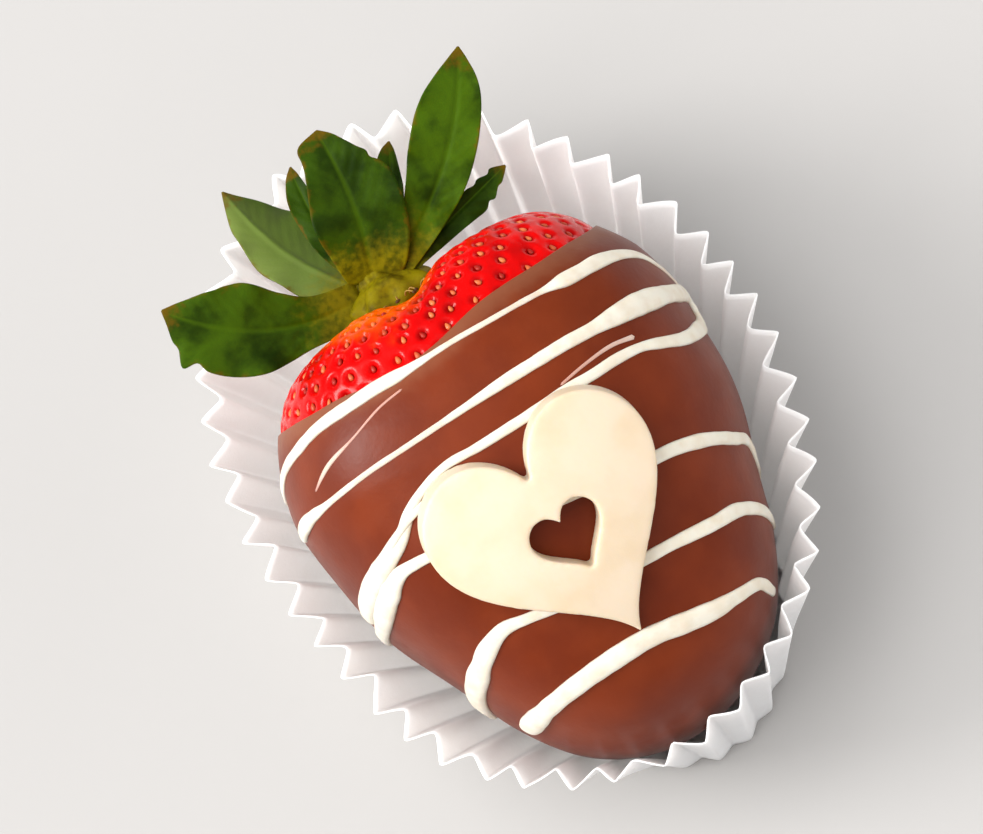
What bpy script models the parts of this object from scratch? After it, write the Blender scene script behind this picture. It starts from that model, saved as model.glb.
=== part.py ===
"""Chocolate coated strawberry lying in its fluted paper case.

Metres, +Z up. The case stands on Z = 0 with the middle of its base at the origin.
The berry lies on its side in the case, its leaves towards +Y and its tip towards -Y.
It is modelled upright about its own axis, with its shoulders at zero height, its
leaves above and its tip below, and an empty then lays it down in the case.
"""

import math

import bmesh
import bpy
from mathutils import Vector, noise

# Clearance left between two pieces that touch.
GAP = 0.00035

# Red flesh: (half width, height) from the hollow under the leaves round to the tip.
FLESH_PROFILE = (
    (0.0000, -0.0013),
    (0.0048, -0.0007),
    (0.0095, 0.0001),
    (0.0130, -0.0002),
    (0.0158, -0.0018),
    (0.0179, -0.0049),
    (0.0196, -0.0112),
    (0.0194, -0.0182),
    (0.0185, -0.0246),
    (0.0158, -0.0315),
    (0.0133, -0.0378),
    (0.0096, -0.0430),
    (0.0052, -0.0458),
    (0.0000, -0.0466),
)
FLESH_LENGTH = 0.0466
FLESH_FLATNESS = 0.90        # thickness of the berry over its width
FLESH_SQUARENESS = 2.2       # 2 is an ellipse, more is boxier
FLESH_UNEVENNESS = 0.022     # swells and hollows, as a share of the half width
FLESH_LUMP = 0.015           # size of those swells and hollows
TIP_LEAN = -0.0013           # sideways shift of the tip
FLESH_COLUMNS = 32
FLESH_STEPS = 2              # rings to each span of the profile

# Milk chocolate coat: a shell round the flesh, open at the shoulders.
COAT_THICKNESS = 0.0017
COAT_LIP_ROUNDING = 0.0005
DIP_HEIGHT = -0.0043         # height of the coat's edge at the middle of the berry
DIP_SLOPE_ACROSS = -0.06
DIP_SLOPE_BACK = 0.13
BOARD = (0.08, 0.10, 0.02)   # block that cuts the coat's underside flat

# Leaf crown. Each sepal runs from the crown to its tip, and bows towards its face.
CROWN_X = -0.0019            # the crown sits a little to one side
CROWN_RADIUS = 0.0046
CROWN_FLATNESS = 0.50
CROWN_HEIGHT = 0.0018        # height of the crown's middle above the shoulders
SEPAL_THICKNESS = 0.00055
SEPAL_ROOT = 0.0015          # distance from the crown's axis where a sepal starts
SEPAL_OUTLINE = ((0.0, 0.45), (0.3, 0.90), (0.6, 0.96), (1.0, 0.07))  # (along, breadth)
SEPAL_OUTLINE_ENDS = ((-0.3, 0.0), (1.3, -0.9))  # where it would run on to
SEPAL_CUP = 0.18             # rise of a sepal's sides, as a share of its half width
SEPAL_STEPS = 2              # strips to each span of the outline
# tip across, tip to the back, tip height, width, bow, direction the face looks in (deg)
SEPALS = {
    "left_broad": (-0.0189, -0.0070, 0.0121, 0.0086, 0.0020, -100),
    "left_pale": (-0.0078, 0.0050, 0.0196, 0.0066, 0.0026, 118),
    "middle_thin": (-0.0012, 0.0020, 0.0171, 0.0034, 0.0010, 80),
    "middle_broad": (0.0028, -0.0050, 0.0173, 0.0096, 0.0024, -88),
    "right_thin": (0.0077, 0.0012, 0.0133, 0.0036, 0.0010, 70),
    "right_long": (0.0182, -0.0050, 0.0156, 0.0068, 0.0022, -75),
    "right_low": (0.0151, -0.0020, 0.0043, 0.0038, 0.0004, -60),
    "back_right": (0.0105, 0.0118, 0.0110, 0.0066, 0.0022, 60),
    "back_middle": (0.0000, 0.0136, 0.0108, 0.0070, 0.0022, 90),
    "back_left": (-0.0128, 0.0100, 0.0100, 0.0064, 0.0020, 130),
}

# White chocolate heart, set on the coat with its point towards the tip.
HEART_WIDTH = 0.0236
HEART_HEIGHT = 0.0228
HEART_THICKNESS = 0.0029
HEART_X = -0.0009
HEART_DEPTH = -0.0292        # height of its middle on the berry's axis
HEART_FRONT = 0.0173         # distance of its underside from the berry's axis
HEART_LEAN = math.radians(19.5)
HEART_DOMING = 0.036         # radius that its face is bent to
HEART_WINDOW = 0.30          # size of the cut-out over that of the heart
HEART_STRIPS = 3             # strips of faces between the outline and the cut-out
HEART_ROUNDING = 0.0007
HEART_POINTS = 40
HEART_CURVE_HEIGHT = 28.97   # of the heart curve before it is scaled to one high
HEART_CURVE_MIDDLE = -2.51
HEART_SEAT = 0.0005          # gap that it keeps to the coat

# Paper case. The tip leans on its near end, so that wall is the steeper one.
CASE_HEIGHT = 0.0175
CASE_BASE = (0.0185, 0.0304)     # half width and half length at the base
CASE_RIM = (0.0255, 0.0351)      # the same at the rim
CASE_RIM_SHIFT = 0.0024          # the rim's middle lies this far behind the base's
CASE_PAPER = 0.00035
CASE_FLUTES = 46
CASE_FLUTE_COLUMNS = 4
CASE_OVAL_SAMPLES = 40           # samples of the oval to each column
CASE_FLUTE_DEPTH = (0.0008, 0.0026)  # at the base and at the rim
CASE_ROWS = 2
CASE_BULGE = 0.0026              # the rim is pushed out at its near left corner
CASE_BULGE_DIRECTION = math.radians(-124)
CASE_BULGE_SPREAD = math.radians(32)

# How the berry lies: its axis dips towards the tip, and it is low enough for the
# coat's underside to have set flat, half a millimetre deep, as it does on a board.
AXIS_DIP = math.radians(15)
SHOULDER_Y = 0.0164
SHOULDER_Z = 0.0244

# Colours: base colour, roughness.
FLESH_LOOK = ((0.70, 0.018, 0.014), 0.35)
COAT_LOOK = ((0.21, 0.045, 0.020), 0.38)
CROWN_LOOK = ((0.045, 0.100, 0.008), 0.45)
HEART_LOOK = ((0.95, 0.82, 0.60), 0.45)
CASE_LOOK = ((0.86, 0.84, 0.82), 0.75)


def clear_scene():
    for leftover in list(bpy.data.objects):
        bpy.data.objects.remove(leftover)


def make_material(name, look):
    colour, roughness = look
    material = bpy.data.materials.new(name)
    material.use_nodes = True
    shader = material.node_tree.nodes["Principled BSDF"]
    shader.inputs["Base Color"].default_value = (*colour, 1.0)
    shader.inputs["Roughness"].default_value = roughness
    shader.inputs["Metallic"].default_value = 0.0
    return material


def add_object(name, bm, look=None, parent=None):
    """A new object from a bmesh, which is freed; without a look it is only a cutter."""
    mesh = bpy.data.meshes.new(name)
    bm.to_mesh(mesh)
    bm.free()
    mesh.shade_smooth()
    mesh.set_sharp_from_angle(angle=math.radians(40))
    obj = bpy.data.objects.new(name, mesh)
    bpy.context.collection.objects.link(obj)
    obj.parent = parent
    if look:
        mesh.materials.append(make_material(name, look))
    else:
        obj.hide_render = True
        obj.display_type = "WIRE"
    return obj


def blend(before, start, end, after, t):
    """Catmull-Rom blend between start and end."""
    straight = 2 * start + (end - before) * t
    bend = (2 * before - 5 * start + 4 * end - after) * t**2
    twist = (3 * start - before - 3 * end + after) * t**3
    return 0.5 * (straight + bend + twist)


def smooth_path(points, before, after, steps):
    """A smooth curve through the points, with the given number of steps to each span."""
    knots = [Vector(p) for p in (before, *points, after)]
    path = []
    for span in range(len(points) - 1):
        for step in range(steps):
            path.append(blend(*knots[span:span + 4], step / steps))
    path.append(knots[-2])
    return path


def bridge_rings(bm, first, second):
    """Quads between two closed rings of as many vertices."""
    count = len(first)
    for i in range(count):
        j = (i + 1) % count
        bm.faces.new((first[i], first[j], second[j], second[i]))


def flesh_point(half_width, height, turn):
    """A point on the flesh: an uneven, slightly boxy oval round the leaning axis."""
    across = math.cos(turn)
    back = math.sin(turn)
    reach = (abs(across) ** FLESH_SQUARENESS
             + abs(back / FLESH_FLATNESS) ** FLESH_SQUARENESS) ** (-1 / FLESH_SQUARENESS)
    spot = Vector((across, back, height / FLESH_LUMP))
    radius = half_width * reach * (1 + FLESH_UNEVENNESS * noise.noise(spot))
    lean = TIP_LEAN * (-height / FLESH_LENGTH) ** 3
    return Vector((lean + radius * across, radius * back, height))


def flesh_mesh():
    """The closed flesh, rings of vertices between one at each pole."""
    second = FLESH_PROFILE[1]
    last_but_one = FLESH_PROFILE[-2]
    path = smooth_path(
        FLESH_PROFILE,
        (-second[0], second[1]),
        (-last_but_one[0], last_but_one[1]),
        FLESH_STEPS,
    )
    bm = bmesh.new()
    rings = []
    for half_width, height in path[1:-1]:
        ring = []
        for column in range(FLESH_COLUMNS):
            turn = 2 * math.pi * column / FLESH_COLUMNS
            ring.append(bm.verts.new(flesh_point(half_width, height, turn)))
        rings.append(ring)
    for upper, lower in zip(rings, rings[1:]):
        bridge_rings(bm, upper, lower)
    hollow = bm.verts.new(flesh_point(0.0, path[0][1], 0.0))
    tip = bm.verts.new(flesh_point(0.0, path[-1][1], 0.0))
    for i in range(FLESH_COLUMNS):
        j = (i + 1) % FLESH_COLUMNS
        bm.faces.new((hollow, rings[0][j], rings[0][i]))
        bm.faces.new((tip, rings[-1][i], rings[-1][j]))
    bmesh.ops.recalc_face_normals(bm, faces=bm.faces)
    return bm


def make_strawberry(berry):
    return add_object("strawberry", flesh_mesh(), FLESH_LOOK, berry)


def make_chocolate_coat(berry):
    """The part of the flesh below the dip line, moved out by the gap and thickened."""
    bm = flesh_mesh()
    bm.normal_update()
    shifts = [(vert, vert.normal * GAP) for vert in bm.verts]
    for vert, shift in shifts:
        vert.co += shift
    bmesh.ops.bisect_plane(
        bm,
        geom=bm.verts[:] + bm.edges[:] + bm.faces[:],
        plane_co=(0, 0, DIP_HEIGHT),
        plane_no=(-DIP_SLOPE_ACROSS, -DIP_SLOPE_BACK, 1),
        clear_outer=True,
    )
    coat = add_object("chocolate_coat", bm, COAT_LOOK, berry)

    thickness = coat.modifiers.new("thickness", "SOLIDIFY")
    thickness.thickness = COAT_THICKNESS
    thickness.offset = 1.0
    thickness.use_even_offset = True

    lip = coat.modifiers.new("rounded lip", "BEVEL")
    lip.limit_method = "ANGLE"
    lip.angle_limit = math.radians(50)
    lip.width = COAT_LIP_ROUNDING
    lip.segments = 2

    foot = coat.modifiers.new("flat foot", "BOOLEAN")
    foot.operation = "DIFFERENCE"
    foot.object = make_board()
    return coat


def make_board():
    """A block up to the level that the coat set on."""
    height = BOARD[2]
    bm = bmesh.new()
    bmesh.ops.create_cube(bm, size=1.0)
    bmesh.ops.scale(bm, vec=BOARD, verts=bm.verts)
    bmesh.ops.translate(bm, vec=(0, 0, CASE_PAPER + GAP - height / 2), verts=bm.verts)
    return add_object("board", bm)


def add_sepal(bm, tip_x, tip_y, tip_z, width, bow, facing):
    """One cupped, pointed sepal, as a sheet."""
    crown = Vector((CROWN_X, 0, CROWN_HEIGHT))
    tip = Vector((tip_x, tip_y, tip_z))
    face = Vector((math.cos(math.radians(facing)), math.sin(math.radians(facing)), 0))
    start = crown + (tip - crown).normalized() * SEPAL_ROOT
    middle = (start + tip) / 2 + (face - Vector((0, 0, 0.6))) * bow
    rows = []
    for share, breadth in smooth_path(SEPAL_OUTLINE, *SEPAL_OUTLINE_ENDS, SEPAL_STEPS):
        centre = start.lerp(middle, share).lerp(middle.lerp(tip, share), share)
        along = (middle - start).lerp(tip - middle, share)
        side = along.cross(face).normalized()
        half = width / 2 * breadth
        row = []
        for across in (-1, 0, 1):
            place = centre + side * half * across + face * SEPAL_CUP * half * abs(across)
            row.append(bm.verts.new(place))
        rows.append(row)
    for lower, upper in zip(rows, rows[1:]):
        for i in range(len(lower) - 1):
            bm.faces.new((lower[i], lower[i + 1], upper[i + 1], upper[i]))


def make_sepals(berry):
    bm = bmesh.new()
    for shape in SEPALS.values():
        add_sepal(bm, *shape)
    sepals = add_object("sepals", bm, parent=berry)
    thickness = sepals.modifiers.new("thickness", "SOLIDIFY")
    thickness.thickness = SEPAL_THICKNESS
    thickness.offset = 0.0
    return sepals


def make_leaf_crown(berry):
    """The domed crown, with the sepals grown onto it."""
    bm = bmesh.new()
    bmesh.ops.create_uvsphere(bm, u_segments=20, v_segments=8, radius=CROWN_RADIUS)
    bmesh.ops.scale(bm, vec=(1, 1, CROWN_FLATNESS), verts=bm.verts)
    bmesh.ops.translate(bm, vec=(CROWN_X, 0, CROWN_HEIGHT), verts=bm.verts)
    crown = add_object("leaf_crown", bm, CROWN_LOOK, berry)
    join = crown.modifiers.new("sepals", "BOOLEAN")
    join.operation = "UNION"
    join.use_self = True
    join.object = make_sepals(berry)
    return crown


def heart_outline(turn):
    """A point on the usual heart curve, one wide and one high round its middle."""
    across = math.sin(turn) ** 3 / 2
    up = (13 * math.cos(turn) - 5 * math.cos(2 * turn)
          - 2 * math.cos(3 * turn) - math.cos(4 * turn))
    return across, (up - HEART_CURVE_MIDDLE) / HEART_CURVE_HEIGHT


def heart_ring(bm, size, height):
    ring = []
    for i in range(HEART_POINTS):
        across, up = heart_outline(2 * math.pi * (i + 0.5) / HEART_POINTS)
        x = across * HEART_WIDTH * size
        y = up * HEART_HEIGHT * size
        sag = (x * x + y * y) / (2 * HEART_DOMING)
        ring.append(bm.verts.new((x, y, height - sag)))
    return ring


def make_heart(berry, coat):
    """A domed heart with a heart-shaped window; its underside follows the coat."""
    bm = bmesh.new()
    sizes = [1 - (1 - HEART_WINDOW) * k / HEART_STRIPS for k in range(HEART_STRIPS + 1)]
    face = [heart_ring(bm, size, HEART_THICKNESS) for size in sizes]
    under = [heart_ring(bm, size, HEART_THICKNESS / 2) for size in reversed(sizes)]
    rings = face + under
    for first, second in zip(rings, rings[1:] + rings[:1]):
        bridge_rings(bm, first, second)
    bmesh.ops.recalc_face_normals(bm, faces=bm.faces)
    bm.verts.index_update()
    underside = [vert.index for ring in under for vert in ring]
    heart = add_object("heart", bm, HEART_LOOK, berry)
    heart.location = (HEART_X, -HEART_FRONT, HEART_DEPTH)
    heart.rotation_euler = (math.pi / 2 + HEART_LEAN, 0, 0)
    heart.vertex_groups.new(name="underside").add(underside, 1.0, "REPLACE")

    seat = heart.modifiers.new("seat on the coat", "SHRINKWRAP")
    seat.wrap_method = "PROJECT"
    seat.use_project_z = True
    seat.use_negative_direction = True
    seat.use_positive_direction = False
    seat.target = coat
    seat.offset = HEART_SEAT
    seat.vertex_group = "underside"

    edges = heart.modifiers.new("soft edges", "BEVEL")
    edges.limit_method = "ANGLE"
    edges.angle_limit = math.radians(45)
    edges.width = HEART_ROUNDING
    edges.segments = 2
    return heart


def even_oval(half_width, half_length, bulge, count):
    """Evenly spaced points on an oval with a bulge, and their outward directions."""
    fine = CASE_OVAL_SAMPLES * count
    curve = []
    for i in range(fine):
        turn = 2 * math.pi * i / fine
        place = Vector((half_width * math.cos(turn), half_length * math.sin(turn)))
        off = math.atan2(place.y, place.x) - CASE_BULGE_DIRECTION
        off = (off + math.pi) % (2 * math.pi) - math.pi
        place += place.normalized() * bulge * math.exp(-(off / CASE_BULGE_SPREAD) ** 2)
        curve.append(place)
    lengths = [0.0]
    for i in range(fine):
        lengths.append(lengths[-1] + (curve[(i + 1) % fine] - curve[i]).length)
    places = []
    i = 0
    for k in range(count):
        wanted = lengths[-1] * k / count
        while lengths[i + 1] < wanted:
            i += 1
        along = (curve[(i + 1) % fine] - curve[i]).normalized()
        place = curve[i] + along * (wanted - lengths[i])
        places.append((place, Vector((along.y, -along.x))))
    return places


def case_ring(bm, share, inside):
    """A fluted ring of the wall, share of the way up, on its outer or inner face."""
    half_width, half_length = (
        low + (high - low) * share for low, high in zip(CASE_BASE, CASE_RIM))
    depth = CASE_FLUTE_DEPTH[0] + (CASE_FLUTE_DEPTH[1] - CASE_FLUTE_DEPTH[0]) * share
    height = CASE_HEIGHT * share
    if inside and share == 0:
        height = CASE_PAPER
    shift = Vector((0, CASE_RIM_SHIFT * share))
    count = CASE_FLUTES * CASE_FLUTE_COLUMNS
    fluted = []
    for k, (place, outward) in enumerate(
            even_oval(half_width, half_length, CASE_BULGE * share, count)):
        wave = math.cos(2 * math.pi * k / CASE_FLUTE_COLUMNS) * depth / 2
        fluted.append(place + outward * wave + shift)
    ring = []
    for k, place in enumerate(fluted):
        along = (fluted[(k + 1) % count] - fluted[k - 1]).normalized()
        inset = Vector((-along.y, along.x)) * (CASE_PAPER if inside else 0)
        ring.append(bm.verts.new((*(place + inset), height)))
    return ring


def make_paper_case():
    bm = bmesh.new()
    shares = [row / CASE_ROWS for row in range(CASE_ROWS + 1)]
    rings = [case_ring(bm, share, inside=False) for share in shares]
    rings += [case_ring(bm, share, inside=True) for share in reversed(shares)]
    for first, second in zip(rings, rings[1:]):
        bridge_rings(bm, first, second)
    bm.faces.new(list(reversed(rings[0])))
    bm.faces.new(rings[-1])
    bmesh.ops.recalc_face_normals(bm, faces=bm.faces)
    return add_object("paper_case", bm, CASE_LOOK)


def make_berry_axis():
    """The empty that lays the upright berry down, leaves towards +Y."""
    berry = bpy.data.objects.new("berry_axis", None)
    bpy.context.collection.objects.link(berry)
    berry.location = (0, SHOULDER_Y, SHOULDER_Z)
    berry.rotation_euler = (AXIS_DIP - math.pi / 2, 0, 0)
    return berry


def main():
    clear_scene()
    berry = make_berry_axis()
    make_strawberry(berry)
    coat = make_chocolate_coat(berry)
    make_leaf_crown(berry)
    make_heart(berry, coat)
    make_paper_case()


main()
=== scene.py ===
# %% [markdown]
# # A chocolate coated strawberry in its paper case
#
# A confectioner dips a large strawberry in milk chocolate up to its shoulders and lays
# it on a board to set. Ivory white chocolate is trailed over it, a cast heart is stuck
# on top, and the berry goes on its side into a fluted paper case. This lesson makes
# those pieces in that order. Each one is fine enough for a close look, and each takes
# the place of a coarse solid that already has the right size and place.

# %% The tools and the coarse solids
import math

import bpy
import numpy as np
from mathutils import Matrix, Vector, noise
from mathutils.bvhtree import BVHTree
from mathutils.kdtree import KDTree


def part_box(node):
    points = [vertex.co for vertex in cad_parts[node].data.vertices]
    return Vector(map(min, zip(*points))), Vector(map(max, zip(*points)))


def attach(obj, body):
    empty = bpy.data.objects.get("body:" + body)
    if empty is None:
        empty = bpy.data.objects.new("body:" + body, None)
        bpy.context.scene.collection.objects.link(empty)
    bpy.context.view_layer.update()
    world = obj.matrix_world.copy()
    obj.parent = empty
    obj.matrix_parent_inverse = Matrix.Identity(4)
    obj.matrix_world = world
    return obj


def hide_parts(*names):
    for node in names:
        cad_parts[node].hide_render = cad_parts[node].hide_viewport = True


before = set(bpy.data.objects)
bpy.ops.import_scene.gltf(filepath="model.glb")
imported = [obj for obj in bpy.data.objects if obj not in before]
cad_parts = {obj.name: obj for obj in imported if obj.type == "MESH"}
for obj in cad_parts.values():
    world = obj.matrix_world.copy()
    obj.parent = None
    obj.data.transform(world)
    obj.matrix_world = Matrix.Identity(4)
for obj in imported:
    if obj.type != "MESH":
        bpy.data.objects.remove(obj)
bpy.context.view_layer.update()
print("solids:", ", ".join(sorted(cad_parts)))

# %% [markdown]
# ## Millimetres, colours and shader maths
#
# Sweets are small, so every shape below is worked out in millimetres and scaled once,
# when its mesh is made. Colours are written as the eye reads them, from 0 to 255, and
# turned into the linear values that shader nodes expect. A finish is a small formula
# over the surface. Wrapping a socket in a class with operators lets that formula be
# written as Python, and each operator adds the Math node that it stands for. The formula
# starts from the place on the object and ends in a Principled surface's sockets.

# %% Units and colours
MM = 0.001


def paint(red, green, blue):
    """A colour as the eye reads it, turned by the sRGB curve into linear RGBA."""
    linear = []
    for channel in (red, green, blue):
        share = channel / 255
        linear.append(share / 12.92 if share < 0.04 else ((share + 0.055) / 1.055) ** 2.4)
    return (*linear, 1.0)


print("mid grey is", round(paint(128, 128, 128)[0], 3), "in linear light")


# %% A socket that does arithmetic
class Signal:
    """A node's output. Arithmetic on it adds Math nodes to its tree."""

    def __init__(self, tree, socket=None):
        self.tree = tree
        self.socket = socket

    def node(self, kind, settings=None, inputs=None, output=0):
        """Adds any node: its settings first, then the values or links of its sockets."""
        made = self.tree.nodes.new(kind)
        for name, value in (settings or {}).items():
            setattr(made, name, value)
        for name, value in (inputs or {}).items():
            if isinstance(value, Signal):
                self.tree.links.new(value.socket, made.inputs[name])
            else:
                made.inputs[name].default_value = value
        return Signal(self.tree, made.outputs[output] if made.outputs else None)

    def maths(self, operation, *values):
        numbered = dict(enumerate(values))
        return self.node("ShaderNodeMath", {"operation": operation}, numbered)

    def __add__(self, other):
        return self.maths("ADD", self, other)

    def __sub__(self, other):
        return self.maths("SUBTRACT", self, other)

    def __rsub__(self, other):
        return self.maths("SUBTRACT", other, self)

    def __mul__(self, other):
        return self.maths("MULTIPLY", self, other)

    __radd__ = __add__
    __rmul__ = __mul__

    def rise(self, low, high):
        """0 up to low, 1 from high on, and a smooth step between."""
        limits = {0: self, 1: low, 2: high}
        return self.node("ShaderNodeMapRange", {"interpolation_type": "SMOOTHSTEP"}, limits)

    def mix(self, first, second):
        """The first colour where this is 0, the second where it is 1."""
        # sockets 6 and 7 of a Mix node are its two colours, and its output 2 is the mixed one
        return self.node("ShaderNodeMix", {"data_type": "RGBA"}, {0: self, 6: first, 7: second}, 2)

    def grain(self, size, detail=3.0):
        """Noise from 0 to 1 over this vector, in lumps of that many millimetres."""
        sockets = {"Vector": self, "Scale": 1 / (size * MM), "Detail": detail}
        return self.node("ShaderNodeTexNoise", None, sockets)

    def bump(self, depth):
        """A normal that tilts as if this signal were relief, depth millimetres high."""
        return self.node("ShaderNodeBump", None, {"Height": self, "Distance": depth * MM})

    def carried(self, name):
        """A value that the mesh itself carries at each of its points."""
        return self.node("ShaderNodeAttribute", {"attribute_name": name}, output="Fac")


# %% A finish from a formula
def make_finish(name, formula, *measures):
    """A material. Its formula gets the place on the object and gives the socket values."""
    material = bpy.data.materials.new(name)
    material.use_nodes = True
    material.node_tree.nodes.clear()
    start = Signal(material.node_tree)
    place = start.node("ShaderNodeTexCoord", output="Object")
    surface = start.node("ShaderNodeBsdfPrincipled", None, formula(place, *measures))
    start.node("ShaderNodeOutputMaterial", None, {"Surface": surface})
    print(name, "has", len(material.node_tree.nodes), "nodes")
    return material


def glow(share, reach):
    """Socket values for light that wanders under the surface, that many millimetres."""
    return {"Subsurface Weight": share, "Subsurface Radius": reach, "Subsurface Scale": MM}


# %% [markdown]
# ## Meshes from rings
#
# The berry, its coat and the case are all round, so each can be one grid: rings of
# points, stacked from one pole to another. Numpy works out all the points at once, and
# the faces follow from the order of the points. A body made this way is closed, which
# keeps its shading clean and lets it be measured or printed.

# %% Rings to a closed body
def full_turn(count):
    """Evenly spaced angles, once round."""
    return np.linspace(0, 2 * math.pi, count, endpoint=False)


def as_points(*coordinates):
    """Points from their coordinates, each an array or one number for all."""
    return np.stack(np.broadcast_arrays(*coordinates), -1)


def round_body(rings, start, end):
    """Points and faces of a closed body: rings of points between two poles."""
    rows, columns = rings.shape[:2]
    points = np.vstack([rings.reshape(-1, 3), start, end])
    here = np.arange(rows * columns).reshape(rows, columns)
    beside = np.roll(here, -1, axis=1)
    faces = np.stack([here[:-1], here[1:], beside[1:], beside[:-1]], -1)
    faces = faces.reshape(-1, 4).tolist()
    first = rows * columns
    for left, right in zip(here[0], beside[0]):
        faces.append((first, left, right))
    for left, right in zip(here[-1], beside[-1]):
        faces.append((left, first + 1, right))
    return points, faces


def turn_outwards(mesh):
    """Flips a closed mesh whose faces look inwards, and counts its triangles."""
    mesh.calc_loop_triangles()
    corners = np.empty(len(mesh.loop_triangles) * 3, int)
    mesh.loop_triangles.foreach_get("vertices", corners)
    points = np.empty(len(mesh.vertices) * 3)
    mesh.vertices.foreach_get("co", points)
    a, b, c = points.reshape(-1, 3)[corners.reshape(-1, 3)].transpose(1, 0, 2)
    if np.einsum("ij,ij->", a, np.cross(b, c)) < 0:
        mesh.flip_normals()
    return len(corners) // 3


# %% A finished piece
def add_object(name, data):
    """An object with that data, in the scene."""
    made = bpy.data.objects.new(name, data)
    bpy.context.collection.objects.link(made)
    return made


def add_piece(name, points, faces, finish, stands_for=None, values=None):
    """A mesh from points in metres, riding on the one body, with values at its points."""
    mesh = bpy.data.meshes.new(name)
    mesh.from_pydata(np.asarray(points).tolist(), [], faces)
    mesh.shade_smooth()
    triangles = turn_outwards(mesh)
    for label, numbers in (values or {}).items():
        attribute = mesh.attributes.new(label, "FLOAT", "POINT")
        attribute.data.foreach_set("value", np.asarray(numbers, np.float32).ravel())
    mesh.materials.append(finish)
    piece = add_object(name, mesh)
    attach(piece, "root")
    if stands_for:
        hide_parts(stands_for)
    print(name, "has", triangles, "triangles")
    return piece


# %% Several bodies in one
def join_bodies(bodies):
    """Several bodies, each its points, faces and values by name, as one."""
    points, faces, values = [], [], {}
    offset = 0
    for body, body_faces, body_values in bodies:
        points.append(body)
        faces += [tuple(corner + offset for corner in face) for face in body_faces]
        for name, numbers in body_values.items():
            values.setdefault(name, []).extend(numbers)
        offset += len(body)
    return np.vstack(points), faces, values


# %% Smooth curves and smooth chance
def between(ends, share):
    """The value that share of the way from the first end to the second."""
    return ends[0] + (ends[1] - ends[0]) * share


def smooth_through(knots, places, before=None, after=None):
    """A smooth curve through the knots; place 1.5 is halfway from the second to the third."""
    knots = np.asarray(knots, float)
    before = 2 * knots[0] - knots[1] if before is None else before
    after = 2 * knots[-1] - knots[-2] if after is None else after
    padded = np.vstack([before, knots, after])
    places = np.asarray(places, float)
    span = np.clip(np.floor(places).astype(int), 0, len(knots) - 2)
    t = (places - span)[..., None]
    a, b, c, d = (padded[span + k] for k in range(4))
    bend = (2 * a - 5 * b + 4 * c - d) * t**2 + (3 * b - a - 3 * c + d) * t**3
    return 0.5 * (2 * b + (c - a) * t + bend)


def wander(points, size, seed=0):
    """Smooth chance from about -1 to 1 at each point, in swells of that size; a seed shifts it."""
    shift = Vector((seed * 17.3, seed * 5.1, 0))
    flat = np.asarray(points, float).reshape(-1, 3) / size
    values = [noise.noise(Vector(point) + shift) for point in flat]
    return np.array(values).reshape(np.shape(points)[:-1])


# %% [markdown]
# ## The body of the berry
#
# A strawberry isn't a cone. Its shoulders bulge round a hollow under the leaves, its
# belly is widest a quarter of the way down, and its tip leans. A lathe profile gives
# the silhouette. Each ring is then a slightly boxy oval instead of a circle, with a few
# swells and hollows, so that no side looks turned. The berry is shaped upright and laid
# down afterwards: its tip dips 15 degrees into the case.

# %% The shape of the flesh, in millimetres
FLESH_PROFILE = (
    (0.0, -1.3), (4.8, -0.7), (9.5, 0.1), (13.0, -0.2), (15.8, -1.8), (17.9, -4.9),
    (19.6, -11.2), (19.4, -18.2), (18.5, -24.6), (15.8, -31.5), (13.3, -37.8),
    (9.6, -43.0), (5.2, -45.8), (0.0, -46.6),
)
TIP_PLACE = len(FLESH_PROFILE) - 1
FLESH_LENGTH = -FLESH_PROFILE[-1][1]
FLESH_FLATNESS = 0.90
FLESH_SQUARENESS = 2.2
FLESH_UNEVENNESS = 0.022
FLESH_LUMP = 15.0
TIP_LEAN = -1.3
NOTCH_DEPTH = 1.7               # the shoulder dips at the front, where the crown lies on it
NOTCH_TURN = 0.04
NOTCH_SPREAD = 0.04
NOTCH_CORE = 8.0                # the dip fades inside this radius
NOTCH_REACH = 7.0               # and down to this far below the top


def flesh_profile(places):
    """Half width and height at places along the profile, which is mirrored past its ends."""
    before, after = ((-x, y) for x, y in (FLESH_PROFILE[1], FLESH_PROFILE[-2]))
    return smooth_through(FLESH_PROFILE, places, before, after)


def flesh_skin(places, turns):
    """Points of the smooth flesh, at places along the profile and turns round the axis."""
    half_width, height = np.moveaxis(flesh_profile(places), -1, 0)
    across, back = np.cos(turns), np.sin(turns)
    oval = abs(across) ** FLESH_SQUARENESS + abs(back / FLESH_FLATNESS) ** FLESH_SQUARENESS
    swell = 1 + FLESH_UNEVENNESS * wander(as_points(across, back, height / FLESH_LUMP), 1.0)
    radius = half_width * oval ** (-1 / FLESH_SQUARENESS) * swell
    lean = TIP_LEAN * (-height / FLESH_LENGTH) ** 3
    notch = np.exp(-(1 + np.sin(turns - NOTCH_TURN)) / NOTCH_SPREAD)
    notch = notch * np.clip(half_width / NOTCH_CORE, 0, 1)
    height = height - NOTCH_DEPTH * notch * np.clip(1 + height / NOTCH_REACH, 0, 1) ** 2
    return as_points(lean + radius * across, radius * back, height)


print("the flesh is", 2 * max(x for x, _ in FLESH_PROFILE), "mm wide and", FLESH_LENGTH, "long")


# %% Which way the skin faces
def unit(vectors):
    """Vectors of length one."""
    return vectors / np.linalg.norm(vectors, axis=-1, keepdims=True)


def facing(rings):
    """Outward directions at the points of rings that run from the leaves to the tip."""
    down = np.gradient(rings, axis=0)
    around = np.roll(rings, -1, axis=1) - np.roll(rings, 1, axis=1)
    return unit(np.cross(down, around))


# %% Laying the berry down
AXIS_DIP = math.radians(15)
LIE_DOWN = Matrix.Rotation(AXIS_DIP - math.pi / 2, 4, "X") @ Matrix.Scale(MM, 4)


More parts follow.
